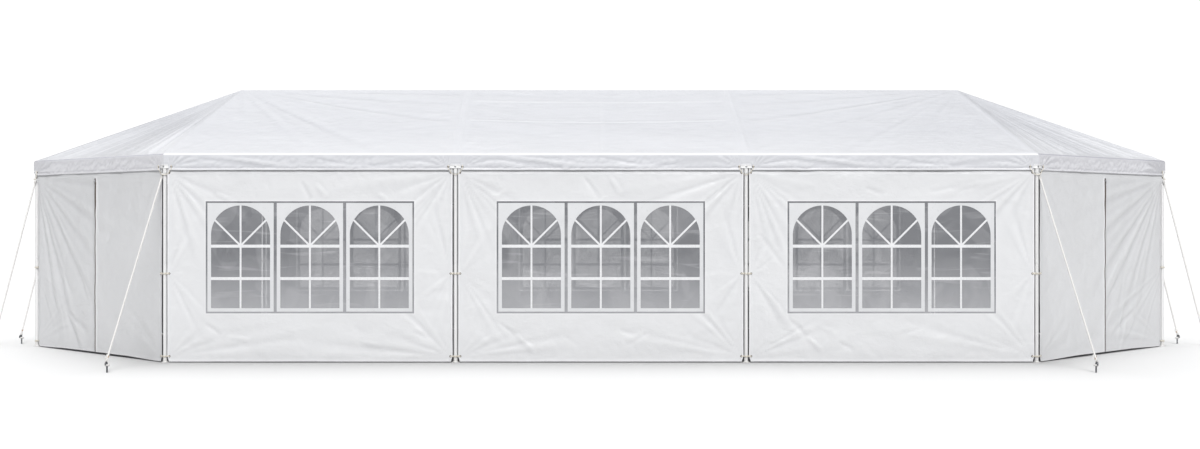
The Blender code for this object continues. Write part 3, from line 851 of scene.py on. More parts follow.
def valance_relief(u, z, length, seed, long_side):
    """How far the skirt's folds stand out. u runs from the side's left corner."""
    rng = np.random.default_rng(seed)
    relief = 0.0060 * noise(u / 0.35, z / 0.12, seed) + 0.0065 * crumple(u, z, 0.06, seed + 1, 0.1, 2.4)
    if long_side:
        relief += creases(u, z, (
            (0.25, 1.95, 1.05, 1.84, 0.030, -0.009), (0.45, 1.955, 1.30, 1.85, 0.024, 0.007),
            (length - 0.9, 1.85, length - 0.2, 1.95, 0.035, -0.008), (1.35, 1.95, 1.80, 1.87, 0.02, -0.006),
            (1.2, 1.87, 2.2, 1.84, 0.022, 0.006)))
    else:
        relief += 0.0120 * crumple(u / 2.2, z, 0.075, seed + 2, 0.5, 1.5)
    left, right = VALANCE_EYE_REACH, length - VALANCE_EYE_REACH
    for eye, low, high in ((left, -8, 95), (right, 85, 188)):
        relief += fan(u, z, (eye, VALANCE_EYE_Z), random_rays(rng, low, high, 11, 0.26, 0.60))
    pull = np.minimum(np.abs(u - left), np.abs(u - right))
    relief += 0.0035 * ramp(0.0, 0.5, pull) * np.sin(np.pi * np.clip((1.95 - z) / 0.13, 0, 1))
    eye = np.minimum(np.hypot(u - left, z - VALANCE_EYE_Z), np.hypot(u - right, z - VALANCE_EYE_Z))
    return soft_limit(relief * ramp(0.010, 0.040, eye), 0.0024, 0.016)
VALANCE_KEYS = ("valance", "hem", "edge", "eave_shade_line", "valance_side", "skirt_hem")


def skirt_rows(index, u):
    """The skirt's rows from its hem up, (out, z, flat place), the heights of their folds, and materials."""
    long_side = index in LONG_SIDES
    length = SIDES[index].length
    near = np.minimum(u, length - u)
    hem = NOTCH_HEM + (VALANCE_HEM - NOTCH_HEM) * ramp(NOTCH_HALF - 0.007, NOTCH_HALF + 0.007, near)
    hem = hem + 0.0022 * noise(u / 0.5, 3.1, 7 + index) * ramp(0.08, 0.3, near)
    rows, reliefs, keys = [], [], []
    for share in SKIRT_SHARES:
        z = hem + (ARC_Z - hem) * share
        relief = valance_relief(u, z, length, 200 + index, long_side) * ramp(0.0, 0.25, 1.0 - share)
        relief = relief * ramp(0.02, 0.10, near) + SKIRT_THICK * (share <= 0.11) * (share > 0)
        rows.append((EAVE_OUT + SKIRT_THICK + relief, z, z))
        reliefs.append(relief)
        front = "skirt_hem" if 0.05 < share < 0.10 else "valance"
        keys.append(front if long_side else "valance_side")
    return rows, reliefs, keys


def bend_rows(long_side):
    """The rows of the bend over the eave and of the lap on the roof: (out, z, flat place), and materials."""
    rows, keys = [], []
    for step in range(1, ARC_STEPS + 1):
        angle = ARC_END * step / ARC_STEPS
        out = EAVE_OUT - ARC_R + (ARC_R + SKIRT_THICK) * math.cos(angle)
        z = ARC_Z + (ARC_R + SKIRT_THICK) * math.sin(angle)
        rows.append((out, z, WALL_TOP + ARC_R * angle))
        if long_side:
            # The bend of a long side is painted bright as a highlight.
            keys.append("edge" if step > 1 else "valance")
        else:
            # Rows 3 and 4 of the bend carry a line of painted shade.
            keys.append("eave_shade_line" if step in (3, 4) else "valance_side")
    lap, lean = 0.022, math.radians(19)
    out, z = out - lap * math.cos(lean), z + lap * math.sin(lean) - 0.0004
    return rows + [(out, z, WALL_TOP + ARC_R * ARC_END + lap)], keys


def make_valance(materials):
    """The skirt under the roof's edge: a notched hem at each post, its folds, and the bend over the eave."""
    build = Build()
    for index, side in enumerate(SIDES):
        length = side.length
        marks = (0.014, 0.030, NOTCH_HALF - 0.006, NOTCH_HALF, NOTCH_HALF + 0.006, 0.075)
        u = lines(0, length, 0.0125, edges=marks)
        rows, reliefs, keys = skirt_rows(index, u)
        bend, bend_keys = bend_rows(index in LONG_SIDES)
        grid = np.array([np.broadcast_arrays(*row, u) for row in rows + bend])
        out, z, along, every_u = np.moveaxis(grid, 1, 0)
        ends = []
        for end, beside in ((side.a, SIDES[index - 1]), (side.b, SIDES[(index + 1) % len(SIDES)])):
            mitre = (side.out + beside.out) / (1 + side.out.dot(beside.out))
            ends.append(end + mitre * out[..., None])
        plan = ends[0] + (ends[1] - ends[0]) * (u / length)[:, None]
        points = np.concatenate((plan, z[..., None]), axis=-1)
        flat = np.stack((every_u + 3 * index, along), axis=-1)
        painted_shade = np.zeros(out.shape)
        heights = VALANCE_HEM + (ARC_Z - VALANCE_HEM) * SKIRT_SHARES
        # Painted shade in the valleys of the skirt's folds, lighter on their ridges.
        painted_shade[:len(reliefs)] = hollow(np.array(reliefs), u, heights, 14.0)
        # Painted shade on the corner sides of the skirt: darker near the tip, and darker all over on the
        # right ones.
        if index in TIP_SIGN:
            all_over, at_tip = (-0.50, -0.90) if "right" in WALL_NAMES[index] else (0.0, -0.50)
            from_tip = u if TIP_SIGN[index] < 0 else length - u
            painted_shade = painted_shade + all_over + at_tip * (1 - ramp(0.12, 0.60, from_tip))
        slots = np.repeat([VALANCE_KEYS.index(key) for key in keys + bend_keys], len(u) - 1)
        build.add(points, grid_faces(*out.shape), slots, flat, painted_shade)
    valance = build.piece("canopy_valance", materials, VALANCE_KEYS, weld=True)
    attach(valance, "root")
    return valance


# Walls

SIDE_HEM = 0.012
FOOT_HEM = 0.014
RIM_HEM = 0.010
ZIP_TOP = 1.770
ZIP_PITCH = 0.0050
# By the first letter of the wall's name: the size of its cells, and how much closer it comes to its posts
WALL_STEP = {"f": 0.0165, "b": 0.0165, "c": 0.0185, "e": 0.022}
EDGE_CLOSER = {"f": 0.0052, "b": 0.0105, "c": 0.0090, "e": 0.0052}

# Folds. A strong fold is the end it starts from, its height, its bearing in degrees and its reach
STRONG_FOLDS = {
    "left": ((-1, TIE_TOP_Z, -73, 0.31), (-1, TIE_TOP_Z, -46, 0.37), (1, TIE_TOP_Z, -143, 0.42),
             (1, TIE_TOP_Z, -124, 0.32), (-1, TIE_MID_Z, -63, 0.28), (1, TIE_MID_Z, 102, 0.34),
             (-1, TIE_FOOT_Z, 9, 0.66), (1, TIE_FOOT_Z, 133, 0.48), (1, TIE_FOOT_Z, 174, 0.80)),
    "middle": ((-1, TIE_TOP_Z, -39, 0.43), (-1, TIE_TOP_Z, -67, 0.34), (1, TIE_TOP_Z, -141, 0.43),
               (1, TIE_TOP_Z, -163, 0.78), (-1, TIE_MID_Z, -55, 0.35), (1, TIE_MID_Z, 104, 0.30),
               (-1, TIE_FOOT_Z, 12, 0.62), (1, TIE_FOOT_Z, 132, 0.50), (1, TIE_FOOT_Z, 166, 0.68)),
    "right": ((-1, TIE_TOP_Z, -38, 0.44), (-1, TIE_TOP_Z, -69, 0.37), (1, TIE_TOP_Z, -141, 0.41),
              (-1, TIE_MID_Z, -47, 0.30), (1, TIE_MID_Z, 104, 0.30), (-1, TIE_FOOT_Z, 30, 0.34),
              (1, TIE_FOOT_Z, 130, 0.52), (1, TIE_FOOT_Z, 164, 0.67)),
}
WALL_CREASES = {
    "left": ((-0.08, 1.72, 0.02, 1.54, 0.030, -0.006), (0.056, 1.70, 0.165, 1.568, 0.028, 0.005),
             (-0.994, 0.372, -0.831, 0.264, 0.024, -0.006)),
    "middle": ((-0.158, 1.77, 0.002, 1.547, 0.032, -0.006), (0.091, 1.77, 0.198, 1.592, 0.028, 0.005),
               (-0.959, 0.38, -0.799, 0.256, 0.024, -0.006), (-0.799, 0.256, -0.603, 0.095, 0.024, 0.005)),
    "right": ((-1.25, 1.231, -1.009, 0.908, 0.026, -0.005), (-0.991, 0.442, -0.794, 0.244, 0.026, -0.006),
              (-0.794, 0.244, -0.632, 0.101, 0.024, 0.005), (0.35, 1.62, 0.80, 1.70, 0.040, -0.004)),
}
TIP_FOLDS = {
    "left": ((TIE_TOP_Z, -4, 1.25), (TIE_TOP_Z, -20, 1.36), (TIE_TOP_Z, -33, 1.0), (TIE_TOP_Z, -46, 1.30),
             (TIE_TOP_Z, -57, 0.8), (TIE_TOP_Z, -63, 1.35), (TIE_TOP_Z, -73, 1.0), (TIE_MID_Z, -28, 0.45),
             (TIE_MID_Z, -58, 0.5), (TIE_FOOT_Z, 15, 0.95), (TIE_FOOT_Z, 33, 0.5)),
    "right": ((TIE_TOP_Z, -12, 1.29), (TIE_TOP_Z, -24, 1.38), (TIE_TOP_Z, -37, 1.57), (TIE_TOP_Z, -46, 1.35),
              (TIE_TOP_Z, -58, 1.1), (TIE_TOP_Z, -69, 0.85), (TIE_MID_Z, -24, 1.23), (TIE_MID_Z, -40, 0.8),
              (TIE_MID_Z, -60, 0.6), (TIE_FOOT_Z, 5, 1.2), (TIE_FOOT_Z, 24, 0.6)),
}

WALL_RAYS = {
    (-1, TIE_TOP_Z): ((-84, 0.55, 3.0, 0.16), (-77, 0.50, 3.2, -0.18), (-69, 0.55, 3.4, 0.20),
                      (-61, 0.42, 3.2, -0.20), (-53, 0.46, 3.2, 0.22), (-45, 0.50, 3.0, -0.24),
                      (-37, 0.45, 3.4, 0.20), (-27, 0.45, 4.0, -0.14), (-15, 0.55, 4.5, 0.10)),
    (1, TIE_TOP_Z): ((-98, 0.50, 3.5, 0.12), (-108, 0.40, 3.4, -0.14), (-118, 0.42, 3.6, 0.16),
                     (-129, 0.45, 3.2, -0.20), (-137, 0.55, 3.2, 0.26), (-144, 0.55, 3.0, -0.26),
                     (-152, 0.60, 3.6, 0.18), (-162, 0.80, 4.0, -0.12), (-171, 0.90, 3.6, 0.09)),
    (-1, TIE_MID_Z): ((-62, 0.42, 4.0, -0.18), (-50, 0.40, 4.5, 0.16), (-36, 0.30, 5.0, -0.10),
                      (0, 0.22, 6.0, 0.08), (40, 0.28, 6.0, -0.10), (62, 0.40, 5.0, 0.12),
                      (76, 0.40, 4.0, -0.10)),
    (1, TIE_MID_Z): ((104, 0.42, 4.0, -0.20), (114, 0.36, 4.5, 0.16), (180, 0.35, 5.0, 0.08),
                     (-122, 0.30, 6.0, -0.12), (-140, 0.30, 6.0, 0.12), (-106, 0.35, 4.0, 0.10)),
    (-1, TIE_FOOT_Z): ((5, 0.70, 3.2, -0.08), (12, 0.60, 3.2, 0.13), (19, 0.50, 3.6, -0.15),
                       (28, 0.40, 4.0, 0.14), (40, 0.30, 5.0, -0.12), (56, 0.25, 6.0, 0.12)),
    (1, TIE_FOOT_Z): ((173, 0.60, 3.0, -0.08), (165, 0.75, 3.2, 0.13), (156, 0.50, 3.6, -0.14),
                      (146, 0.40, 3.6, 0.14), (134, 0.60, 2.8, -0.18), (127, 0.55, 2.8, 0.16),
                      (116, 0.30, 4.0, -0.12)),
}
CORNER_RAYS = {
    TIE_TOP_Z: ((-100, 0.60, 4.0, 0.08), (-112, 0.70, 4.0, -0.12), (-124, 0.90, 4.0, 0.12),
                (-136, 0.60, 4.0, -0.10), (-152, 0.50, 5.0, 0.08), (-168, 1.1, 3.0, -0.07)),
    TIE_FOOT_Z: ((170, 0.50, 4.0, -0.09), (158, 0.60, 4.0, 0.13), (144, 0.55, 4.5, -0.13),
                 (128, 0.40, 5.0, 0.10)),
}


def varied(rng, rays):
    """Rays with small changes, so that no two walls are alike."""
    return [(turn + rng.uniform(-4, 4), reach * rng.uniform(0.7, 1.3), spread * rng.uniform(0.8, 1.2),
             slope * rng.uniform(0.3, 1.2)) for turn, reach, spread, slope in rays]


def mirrored(rays):
    """Rays turned from left to right."""
    return [(180 - turn, reach, spread, slope) for turn, reach, spread, slope in rays]


def wall_style(index):
    """The folds of a wall: fans from its eyelets, and creases."""
    part = WALL_NAMES[index].split("_")[1]
    half = SIDES[index].half - TIE_REACH
    rng = np.random.default_rng(300 + index)
    fans, marks = [], []
    if index in LONG_SIDES:
        for (sign, height), rays in WALL_RAYS.items():
            fans.append(((sign * half, height), varied(rng, rays)))
        for sign, height, turn, reach in STRONG_FOLDS[part]:
            steep = max(reach, 0.34)
            fans.append(((sign * half, height), [(turn, reach * 1.35, 2.4, -0.095 / steep),
                                                 (turn + sign * 5, reach * 1.3, 2.6, 0.075 / steep)]))
        marks += WALL_CREASES[part]
        for _ in range(5):
            u, z = rng.uniform(-1.1, 1.1), rng.choice((rng.uniform(0.15, 0.36), rng.uniform(1.60, 1.72)))
            u_end, z_end = u + rng.choice((-1, 1)) * rng.uniform(0.12, 0.30), z - rng.uniform(0.04, 0.12)
            width, rise = rng.uniform(0.020, 0.035), rng.choice((-1, 1)) * rng.uniform(0.002, 0.005)
            marks.append((u, z, u_end, z_end, width, rise))
        for sign in (-1, 1):
            for height in rng.uniform(0.3, 1.6, 4):
                marks.append((sign * (half - 0.13), height + 0.02, sign * (half - 0.015), height, 0.012,
                              rng.uniform(0.001, 0.0025)))
    elif index in TIP_SIGN:
        tip = TIP_SIGN[index]
        flip = mirrored if tip > 0 else list
        for height, turn, reach in TIP_FOLDS[part]:
            strong = 1.0 if height == TIE_TOP_Z else 0.6
            pair = [(turn, reach * 1.15, 2.2, -0.17 * strong), (turn + 4.2, reach * 1.1, 2.3, 0.15 * strong)]
            fans.append(((tip * half, height), flip(pair)))
        for height, rays in CORNER_RAYS.items():
            fans.append(((-tip * half, height), flip(varied(rng, rays))))
        marks.append((tip * 0.666, 0.43, tip * 0.133, 0.194, 0.035, -0.006))
        for _ in range(8):
            u, z = tip * rng.uniform(0.1, 1.1), rng.uniform(0.3, 1.5)
            marks.append((u, z, u - tip * rng.uniform(0.15, 0.40), z - rng.uniform(0.15, 0.5),
                          rng.uniform(0.02, 0.04), rng.choice((-1, 1)) * rng.uniform(0.002, 0.005)))
    else:
        for height, low, high in ((TIE_TOP_Z, -85, -20), (TIE_MID_Z, -70, 70), (TIE_FOOT_Z, 15, 80)):
            fans.append(((-half, height), random_rays(rng, low, high, 6, 0.45, 0.14)))
            fans.append(((half, height), random_rays(rng, 180 - high, 180 - low, 6, 0.45, 0.14)))
    return fans, marks


STYLES = [wall_style(index) for index in range(len(SIDES))]


def wall_folds(index, u, z):
    """The tension folds of a wall alone."""
    fans, marks = STYLES[index]
    folds = 1.6 * creases(u, z, marks) + 2.0 * sum(fan(u, z, anchor, rays) for anchor, rays in fans)
    if index in TIP_SIGN:
        folds = folds * (0.5 + 0.5 * ramp(-0.03, 0.03, TIP_SIGN[index] * u))
    return folds


def wall_relief(index, u, z):
    """How far a wall's sheet stands out from its flat place at u along and z up."""
    seed = 300 + 10 * index
    from_end = SIDES[index].half - WALL_END_GAP - np.abs(u)
    relief = 0.0120 * noise(u / 0.75, z / 0.6, seed) + 0.0100 * crumple(u, z, 0.34, seed + 1, 0.7, 1.5)
    relief += 0.0050 * crumple(u, z, 0.15, seed + 2, -0.5, 1.4)
    relief += 0.0020 * crumple(u, z, 0.07, seed + 3, 0.4, 1.5)
    relief += wall_folds(index, u, z)
    if index in LONG_SIDES:
        inside = ramp(-0.12, 0.04, WINDOW_WIDTH / 2 - np.abs(u))
        inside = inside * ramp(-0.12, 0.04, WINDOW_TOP - z) * ramp(-0.12, 0.04, z - WINDOW_BOTTOM)
        relief = relief * (1 - 0.72 * inside)
    if index in TIP_SIGN:
        relief = relief * (0.35 + 0.65 * ramp(0.010, 0.07, np.abs(u)))
    relief = relief * (0.35 + 0.65 * ramp(0.0, 0.05, from_end))
    relief = relief * (0.4 + 0.6 * ramp(WALL_HEM, WALL_HEM + 0.06, z))
    recess = 0.0035 if index in TIP_SIGN else 0.0120
    pushed_in = -recess * ramp(1.782, 1.822, z) * (1 - ramp(1.88, 1.94, z)) * ramp(0.0, 0.05, from_end)
    pushed_in = pushed_in - 0.0065 * ramp(1.78, 1.822, z) * (1 - ramp(1.86, 1.93, z))
    relief = relief * (1 - ramp(1.80, 1.92, z)) + pushed_in
    ceiling = 0.018 - 0.0180 * ramp(1.70, 1.80, z)
    return soft_limit(relief, 0.034, np.maximum(ceiling, 0.0004))


def wall_point(index, u, z, out=0.0):
    """Places on a wall's sheet, out in front of it."""
    u, z = np.asarray(u, float), np.asarray(z, float)
    side = np.sign(u)
    near = SIDES[index].half - WALL_END_GAP - np.abs(u)
    flare = 0.015 * (1 - ramp(WALL_HEM, TIE_FOOT_Z + 0.010, z))
    waist = sum(bell(z - tie, 0.10) for tie in (TIE_TOP_Z, TIE_MID_Z, TIE_FOOT_Z))
    slack = 0.0012 * (1 - waist) * ramp(WALL_HEM, 0.2, z)
    moved_u = u - side * (slack + flare - EDGE_CLOSER[WALL_NAMES[index][0]]) * (1 - ramp(0.0, 0.22, near))
    hem = 0.0015 * noise(u / 0.4, 0.5, 900 + index)
    tucked = 0.0
    if index in TIP_SIGN:
        at_tip = (side == TIP_SIGN[index]) * (1 - ramp(1.70, 1.78, z))
        moved_u = moved_u - side * 0.0065 * at_tip * (1 - ramp(0.0, 0.10, near))
        tucked = -0.0235 * at_tip * (1 - ramp(0.0, 0.09, near))
        hem = hem + 0.012 * ramp(0.10, 0.75, near)
        parted = (0.0030 + ramp(1.35, 1.55, z) * 0.0070) * (np.abs(u) > 0.003)
        zipped = (1 - ramp(0.012, 0.10, np.abs(u))) * (1 - ramp(ZIP_TOP - 0.02, ZIP_TOP + 0.01, z))
        moved_u = moved_u + side * parted * zipped
    hem = hem * (1 - ramp(WALL_HEM, 0.15, z))
    return SIDES[index].place(moved_u, WALL_OUT + tucked + wall_relief(index, u, z) + out, z + hem)


def beyond_rim(u, z):
    """How far a place on a wall is outside its window's opening, less than 0 inside it."""
    return np.maximum(np.abs(u) - WINDOW_WIDTH / 2, np.maximum(z - WINDOW_TOP, WINDOW_BOTTOM - z))


def wall_shade(index, u, z):
    """The shade painted on a wall, on a grid: less than 0 in the valleys of its folds, on what lies in shade
    and in the shadow under the skirt, more than 0 on ridges and on the lit half of a left corner wall.
    """
    grid_u, grid_z = np.meshgrid(u, z)
    from_end = SIDES[index].half - WALL_END_GAP - np.abs(grid_u)
    painted_shade = 0.45 * hollow(wall_folds(index, grid_u, grid_z), u, z, 7.0) * ramp(0.03, 0.06, from_end)
    # Painted light on the inner half of a left corner wall, painted shade on the tip half of a right one.
    if index in TIP_SIGN:
        tip_half = ramp(-0.02, 0.02, TIP_SIGN[index] * grid_u)
        painted_shade = painted_shade + (0.28 * (1 - tip_half) if "left" in WALL_NAMES[index] else -0.33 * tip_half)
    painted_shade = painted_shade * (1 - ramp(1.74, 1.78, grid_z))
    # Painted shadow in a band under the skirt on the long sides.
    if index in LONG_SIDES:
        painted_shade = painted_shade - 0.75 * ramp(1.765, 1.785, grid_z)
    return painted_shade


def make_wall(index, materials):
    """A wall's sheet with its welded hems, and a hole where it has a window or a slit where it has a zip."""
    name = WALL_NAMES[index]
    half = SIDES[index].half - WALL_END_GAP
    window, zipped = index in LONG_SIDES, index in TIP_SIGN
    extra_u, extra_z = (), ()
    if window:
        rim = WINDOW_WIDTH / 2
        extra_u = (-rim, rim, -rim - RIM_HEM, rim + RIM_HEM)
        extra_z = (WINDOW_BOTTOM, WINDOW_TOP, WINDOW_BOTTOM - RIM_HEM, WINDOW_TOP + RIM_HEM)
    if zipped:
        extra_u = (-0.026, -0.0235, -0.0075, -0.0070, 0.0070, 0.0075, 0.0235, 0.026)
        extra_z = (ZIP_TOP, ZIP_TOP + 0.012)
    step = WALL_STEP[name[0]]
    u = lines(-half, half, step, extra_u, edges=(0.004, SIDE_HEM, SIDE_HEM + 0.003))
    z = lines(WALL_HEM, WALL_TOP, step, extra_z, edges=(0.004, FOOT_HEM, FOOT_HEM + 0.003))
    grid_u, grid_z = np.meshgrid(u, z)
    from_end, from_foot = half - np.abs(grid_u), grid_z - WALL_HEM
    hemmed = 1 - ramp(SIDE_HEM, SIDE_HEM + 0.0028, from_end) * ramp(FOOT_HEM, FOOT_HEM + 0.0028, from_foot)
    thick = 0.0011 * hemmed * ramp(0.0, 0.004, np.minimum(from_end, from_foot) + 0.0015)
    cell_u, cell_z = np.meshgrid((u[:-1] + u[1:]) / 2, (z[:-1] + z[1:]) / 2)
    slot = (half - np.abs(cell_u) < SIDE_HEM + 0.001) | (cell_z - WALL_HEM < FOOT_HEM + 0.001)
    keep = np.ones(cell_u.shape, bool)
    if window:
        keep = beyond_rim(cell_u, cell_z) >= 0
        slot = slot | (beyond_rim(cell_u, cell_z) < RIM_HEM)
        hemmed = 1 - ramp(RIM_HEM - 0.002, RIM_HEM + 0.002, beyond_rim(grid_u, grid_z))
        thick = np.maximum(thick, 0.0008 * hemmed)
    if zipped:
        keep = ~((np.abs(cell_u) < 0.0069) & (cell_z < ZIP_TOP))
        slot = slot | ((np.abs(cell_u) < 0.025) & (cell_z < ZIP_TOP + 0.012))
        flap = (1 - ramp(0.0235, 0.026, np.abs(grid_u))) * (1 - ramp(ZIP_TOP, ZIP_TOP + 0.012, grid_z))
        thick = np.maximum(thick, 0.0012 * flap)
    build = Build()
    faces = grid_faces(*grid_u.shape, keep=keep)
    used = np.unique(faces)
    renumbered = np.zeros(grid_u.size, int)
    renumbered[used] = np.arange(len(used))
    flat = np.stack((grid_u + 0.37 * index, grid_z), axis=-1).reshape(-1, 2)
    points = wall_point(index, grid_u, grid_z, thick).reshape(-1, 3)
    painted_shade = wall_shade(index, u, z).ravel()
    build.add(points[used], renumbered[faces], slot[keep].astype(int), flat[used], painted_shade[used])
    wall = build.piece("sheet_" + name, materials, ("wall", "hem"))
    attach(wall, "root")
    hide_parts("wall_" + name)
    area = 2 * half * (WALL_TOP - WALL_HEM)
    if window:
        area -= WINDOW_WIDTH * (WINDOW_TOP - WINDOW_BOTTOM)
    return wall, (2 * half, WALL_TOP - WALL_HEM), area


def strip_points(index, path, half_width, out):
    """A flat ribbon on a wall along a line of (u, z) points."""
    path = np.asarray(path, float)
    ahead = unit(np.gradient(path, axis=0))
    side = np.stack((-ahead[:, 1], ahead[:, 0]), axis=1)
    edges = [path - side * half_width, path + side * half_width]
    flat = np.stack(edges, axis=1).reshape(-1, 2)
    points = wall_point(index, flat[:, 0], flat[:, 1], out)
    count = len(path)
    faces = [(2 * i, 2 * i + 2, 2 * i + 3, 2 * i + 1) for i in range(count - 1)]
    return points, faces, flat


def dotted(start, end, spacing):
    """Evenly spaced points from start to end."""
    start, end = np.array(start, float), np.array(end, float)
    count = max(2, int(np.linalg.norm(end - start) / spacing) + 2)
    return start + (end - start) * np.linspace(0, 1, count)[:, None]


def pane_outline():
    """The outline of one arched opening, round from its bottom right, by (x, z) from its middle line."""
    right = dotted((PANE_HALF, PANE_BOTTOM), (PANE_HALF, ARCH_Z), 0.035)
    turn = np.linspace(0, math.pi, 49)[1:-1]
    arch = np.stack((PANE_HALF * np.cos(turn), ARCH_Z + PANE_HALF * np.sin(turn)), axis=1)
    left = dotted((-PANE_HALF, ARCH_Z), (-PANE_HALF, PANE_BOTTOM), 0.035)
    bottom = dotted((-PANE_HALF, PANE_BOTTOM), (PANE_HALF, PANE_BOTTOM), 0.035)[1:-1]
    return np.vstack((right, arch, left, bottom))


def add_panel(build, index, centre, half_width, low, high):
    """One printed panel: a white surround with an arched opening, and its glazing bars."""
    hole = pane_outline()
    middle = np.array((0.0, (low + high) / 2))
    angles = np.arctan2(hole[:, 1] - middle[1], hole[:, 0])
    corners = [math.atan2(z - middle[1], x) for x in (-half_width, half_width) for z in (low, high)]
    order = np.argsort(angles)
    every = np.sort(np.concatenate((angles, corners)))
    round_angles = np.concatenate([angles[order] + turn for turn in (-2 * math.pi, 0, 2 * math.pi)])
    hole_radius = np.interp(every, round_angles, np.tile(np.hypot(*(hole - middle).T)[order], 3))
    rim_radius = np.minimum(half_width / np.maximum(np.abs(np.cos(every)), 1e-9),
                            (high - low) / 2 / np.maximum(np.abs(np.sin(every)), 1e-9))
    ways = np.stack((np.cos(every), np.sin(every)), axis=1)
    rings = [middle + ways * (hole_radius + (rim_radius - hole_radius) * share)[:, None]
             for share in (0.0, 0.5, 1.0)]
    count = len(every)
    faces = []
    for ring in (0, count):
        for i in range(count):
            j = (i + 1) % count
            faces.append((ring + count + i, ring + count + j, ring + j, ring + i))
    place = np.vstack(rings) + (centre, 0)
    build.add(wall_point(index, place[:, 0], place[:, 1], 0.0010), faces, 0, place)
    centre_z = BAR_CENTRES[0] + 0.004
    reach = PANE_HALF + 0.004
    bars = [((0, PANE_BOTTOM - 0.01), (0, ARCH_Z + reach), MUNTIN_HALF)]
    bars += [((-reach, z), (reach, z), BAR_HALF) for z in BAR_CENTRES]
    for sign in (-1, 1):
        far = (reach + 0.068) * math.sin(math.radians(45))
        bars.append(((0, centre_z), (sign * far, centre_z + far), MUNTIN_HALF))
    for number, (start, end, width) in enumerate(bars):
        path = dotted(start, end, 0.035) + (centre, 0)
        points, strip, flat = strip_points(index, path, width, 0.0004 + 0.0001 * number)
        build.add(points, strip, 1, flat)
    ring = np.vstack((circle(0.021, 16), (0, 0))) + (centre, centre_z)
    faces = [(i, (i + 1) % 16, 16) for i in range(16)]
    build.add(wall_point(index, ring[:, 0], ring[:, 1], 0.0012), faces, 1, ring)


def make_window(index, materials):
    """A clear film behind the wall's opening, with its white printed glazing bars."""
    name = WALL_NAMES[index]
    rim = WINDOW_WIDTH / 2 + WINDOW_LAP
    low, high = WINDOW_BOTTOM - WINDOW_LAP, WINDOW_TOP + WINDOW_LAP
    grid_u, grid_z = np.meshgrid(lines(-rim, rim, 0.020), lines(low, high, 0.020))
    build = Build()
    flat = np.stack((grid_u + 2.3 * index, grid_z), axis=-1)
    build.add(wall_point(index, grid_u, grid_z, -0.0022), grid_faces(*grid_u.shape), 0, flat)
    film = build.piece("film_" + name, materials, ("film",))
    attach(film, "root")
    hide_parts("window_" + name)

    build = Build()
    panel = (WINDOW_WIDTH - 2 * PRINT_BORDER - 2 * PANEL_GAP) / 3
    for number in (-1, 0, 1):
        add_panel(build, index, number * (panel + PANEL_GAP), panel / 2, WINDOW_BOTTOM + PRINT_BORDER,
                  WINDOW_TOP - PRINT_BORDER)
    bars = build.piece("glazing_print_" + name, materials, ("ink", "bar"))
    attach(bars, "root")
    return film, bars, (2 * rim, high - low)


# Zips

TOOTH = ((-0.0034, 0, -0.0012), (0.0012, 0, -0.0012), (0.0012, 0, 0.0012), (-0.0034, 0, 0.0012),
         (-0.0034, -0.0024, -0.0009), (0.0012, -0.0024, -0.0009), (0.0012, -0.0024, 0.0009),
         (-0.0034, -0.0024, 0.0009))
TOOTH_FACES = ((4, 5, 6, 7), (0, 4, 7, 3), (1, 2, 6, 5), (3, 7, 6, 2), (0, 1, 5, 4))
ZIP_SLIDER = ((0.0001, -0.011), (0.0052, -0.010), (0.0060, -0.004), (0.0050, 0.005), (0.0068, 0.010),
              (0.0001, 0.011))
ZIP_STOP = ((0.0001, -0.004), (0.0046, -0.0036), (0.0050, 0.0), (0.0046, 0.0036), (0.0001, 0.004))
ZIP_PULL = ((-0.0042, -0.0008), (0.0042, -0.0008), (0.0048, 0), (0.0042, 0.0008), (-0.0042, 0.0008),
            (-0.0048, 0))


def make_zip(index, materials):
    """The zip down the middle of a corner wall: tapes, meshing teeth, a slider with its pull, and stops."""
    build = Build()
    low = WALL_HEM + 0.006
    heights = np.linspace(low, ZIP_TOP - 0.004, 120)
    for sign in (-1, 1):
        path = np.column_stack((np.full_like(heights, sign * 0.0122), heights))
        points, faces, flat = strip_points(index, path, 0.0120, -0.0022)
        build.add(points, faces, 1, flat)
    turn = SIDES[index].matrix()
    turn.translation = (0, 0, 0)
    for z in np.arange(low + 0.004, ZIP_TOP - 0.010, ZIP_PITCH):
        for sign in (-1, 1):
            height = z + (0 if sign < 0 else ZIP_PITCH / 2)
            at = wall_point(index, sign * 0.0008, height, 0.0006)
            faces = [face[::-sign] for face in TOOTH_FACES]
            build.add(moved(np.array(TOOTH) * (-sign, 1, 1), turn) + at, faces, 0)
    at = wall_point(index, 0.0, ZIP_TOP - 0.030, 0.0030)
    points, faces = lathe(ZIP_SLIDER, 14)
    build.add(moved(points * (1, 0.45, 1), turn) + at, faces, 2)
    out = np.append(SIDES[index].out, 0)
    pull = smooth_path([at + out * 0.003 + (0, 0, 0.004), at + out * 0.010 + (0, 0, -0.004),
                        at + out * 0.008 + (0, 0, -0.022), at + out * 0.005 + (0, 0, -0.046)], 0.004)
    build.sweep(pull, ZIP_PULL, 2)
    for z in (low + 0.002, ZIP_TOP - 0.007):
        at = wall_point(index, 0.0, z, 0.0016)
        points, faces = lathe(ZIP_STOP, 12)
        build.add(moved(points * (1, 0.5, 1), turn) + at, faces, 2)
    made = build.piece("zip_" + WALL_NAMES[index], materials, ("teeth", "tape", "bolt"), sharp=40)
    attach(made, "root")
    return made


# Posts, eyelets and ties. Turned parts are given by radius and height

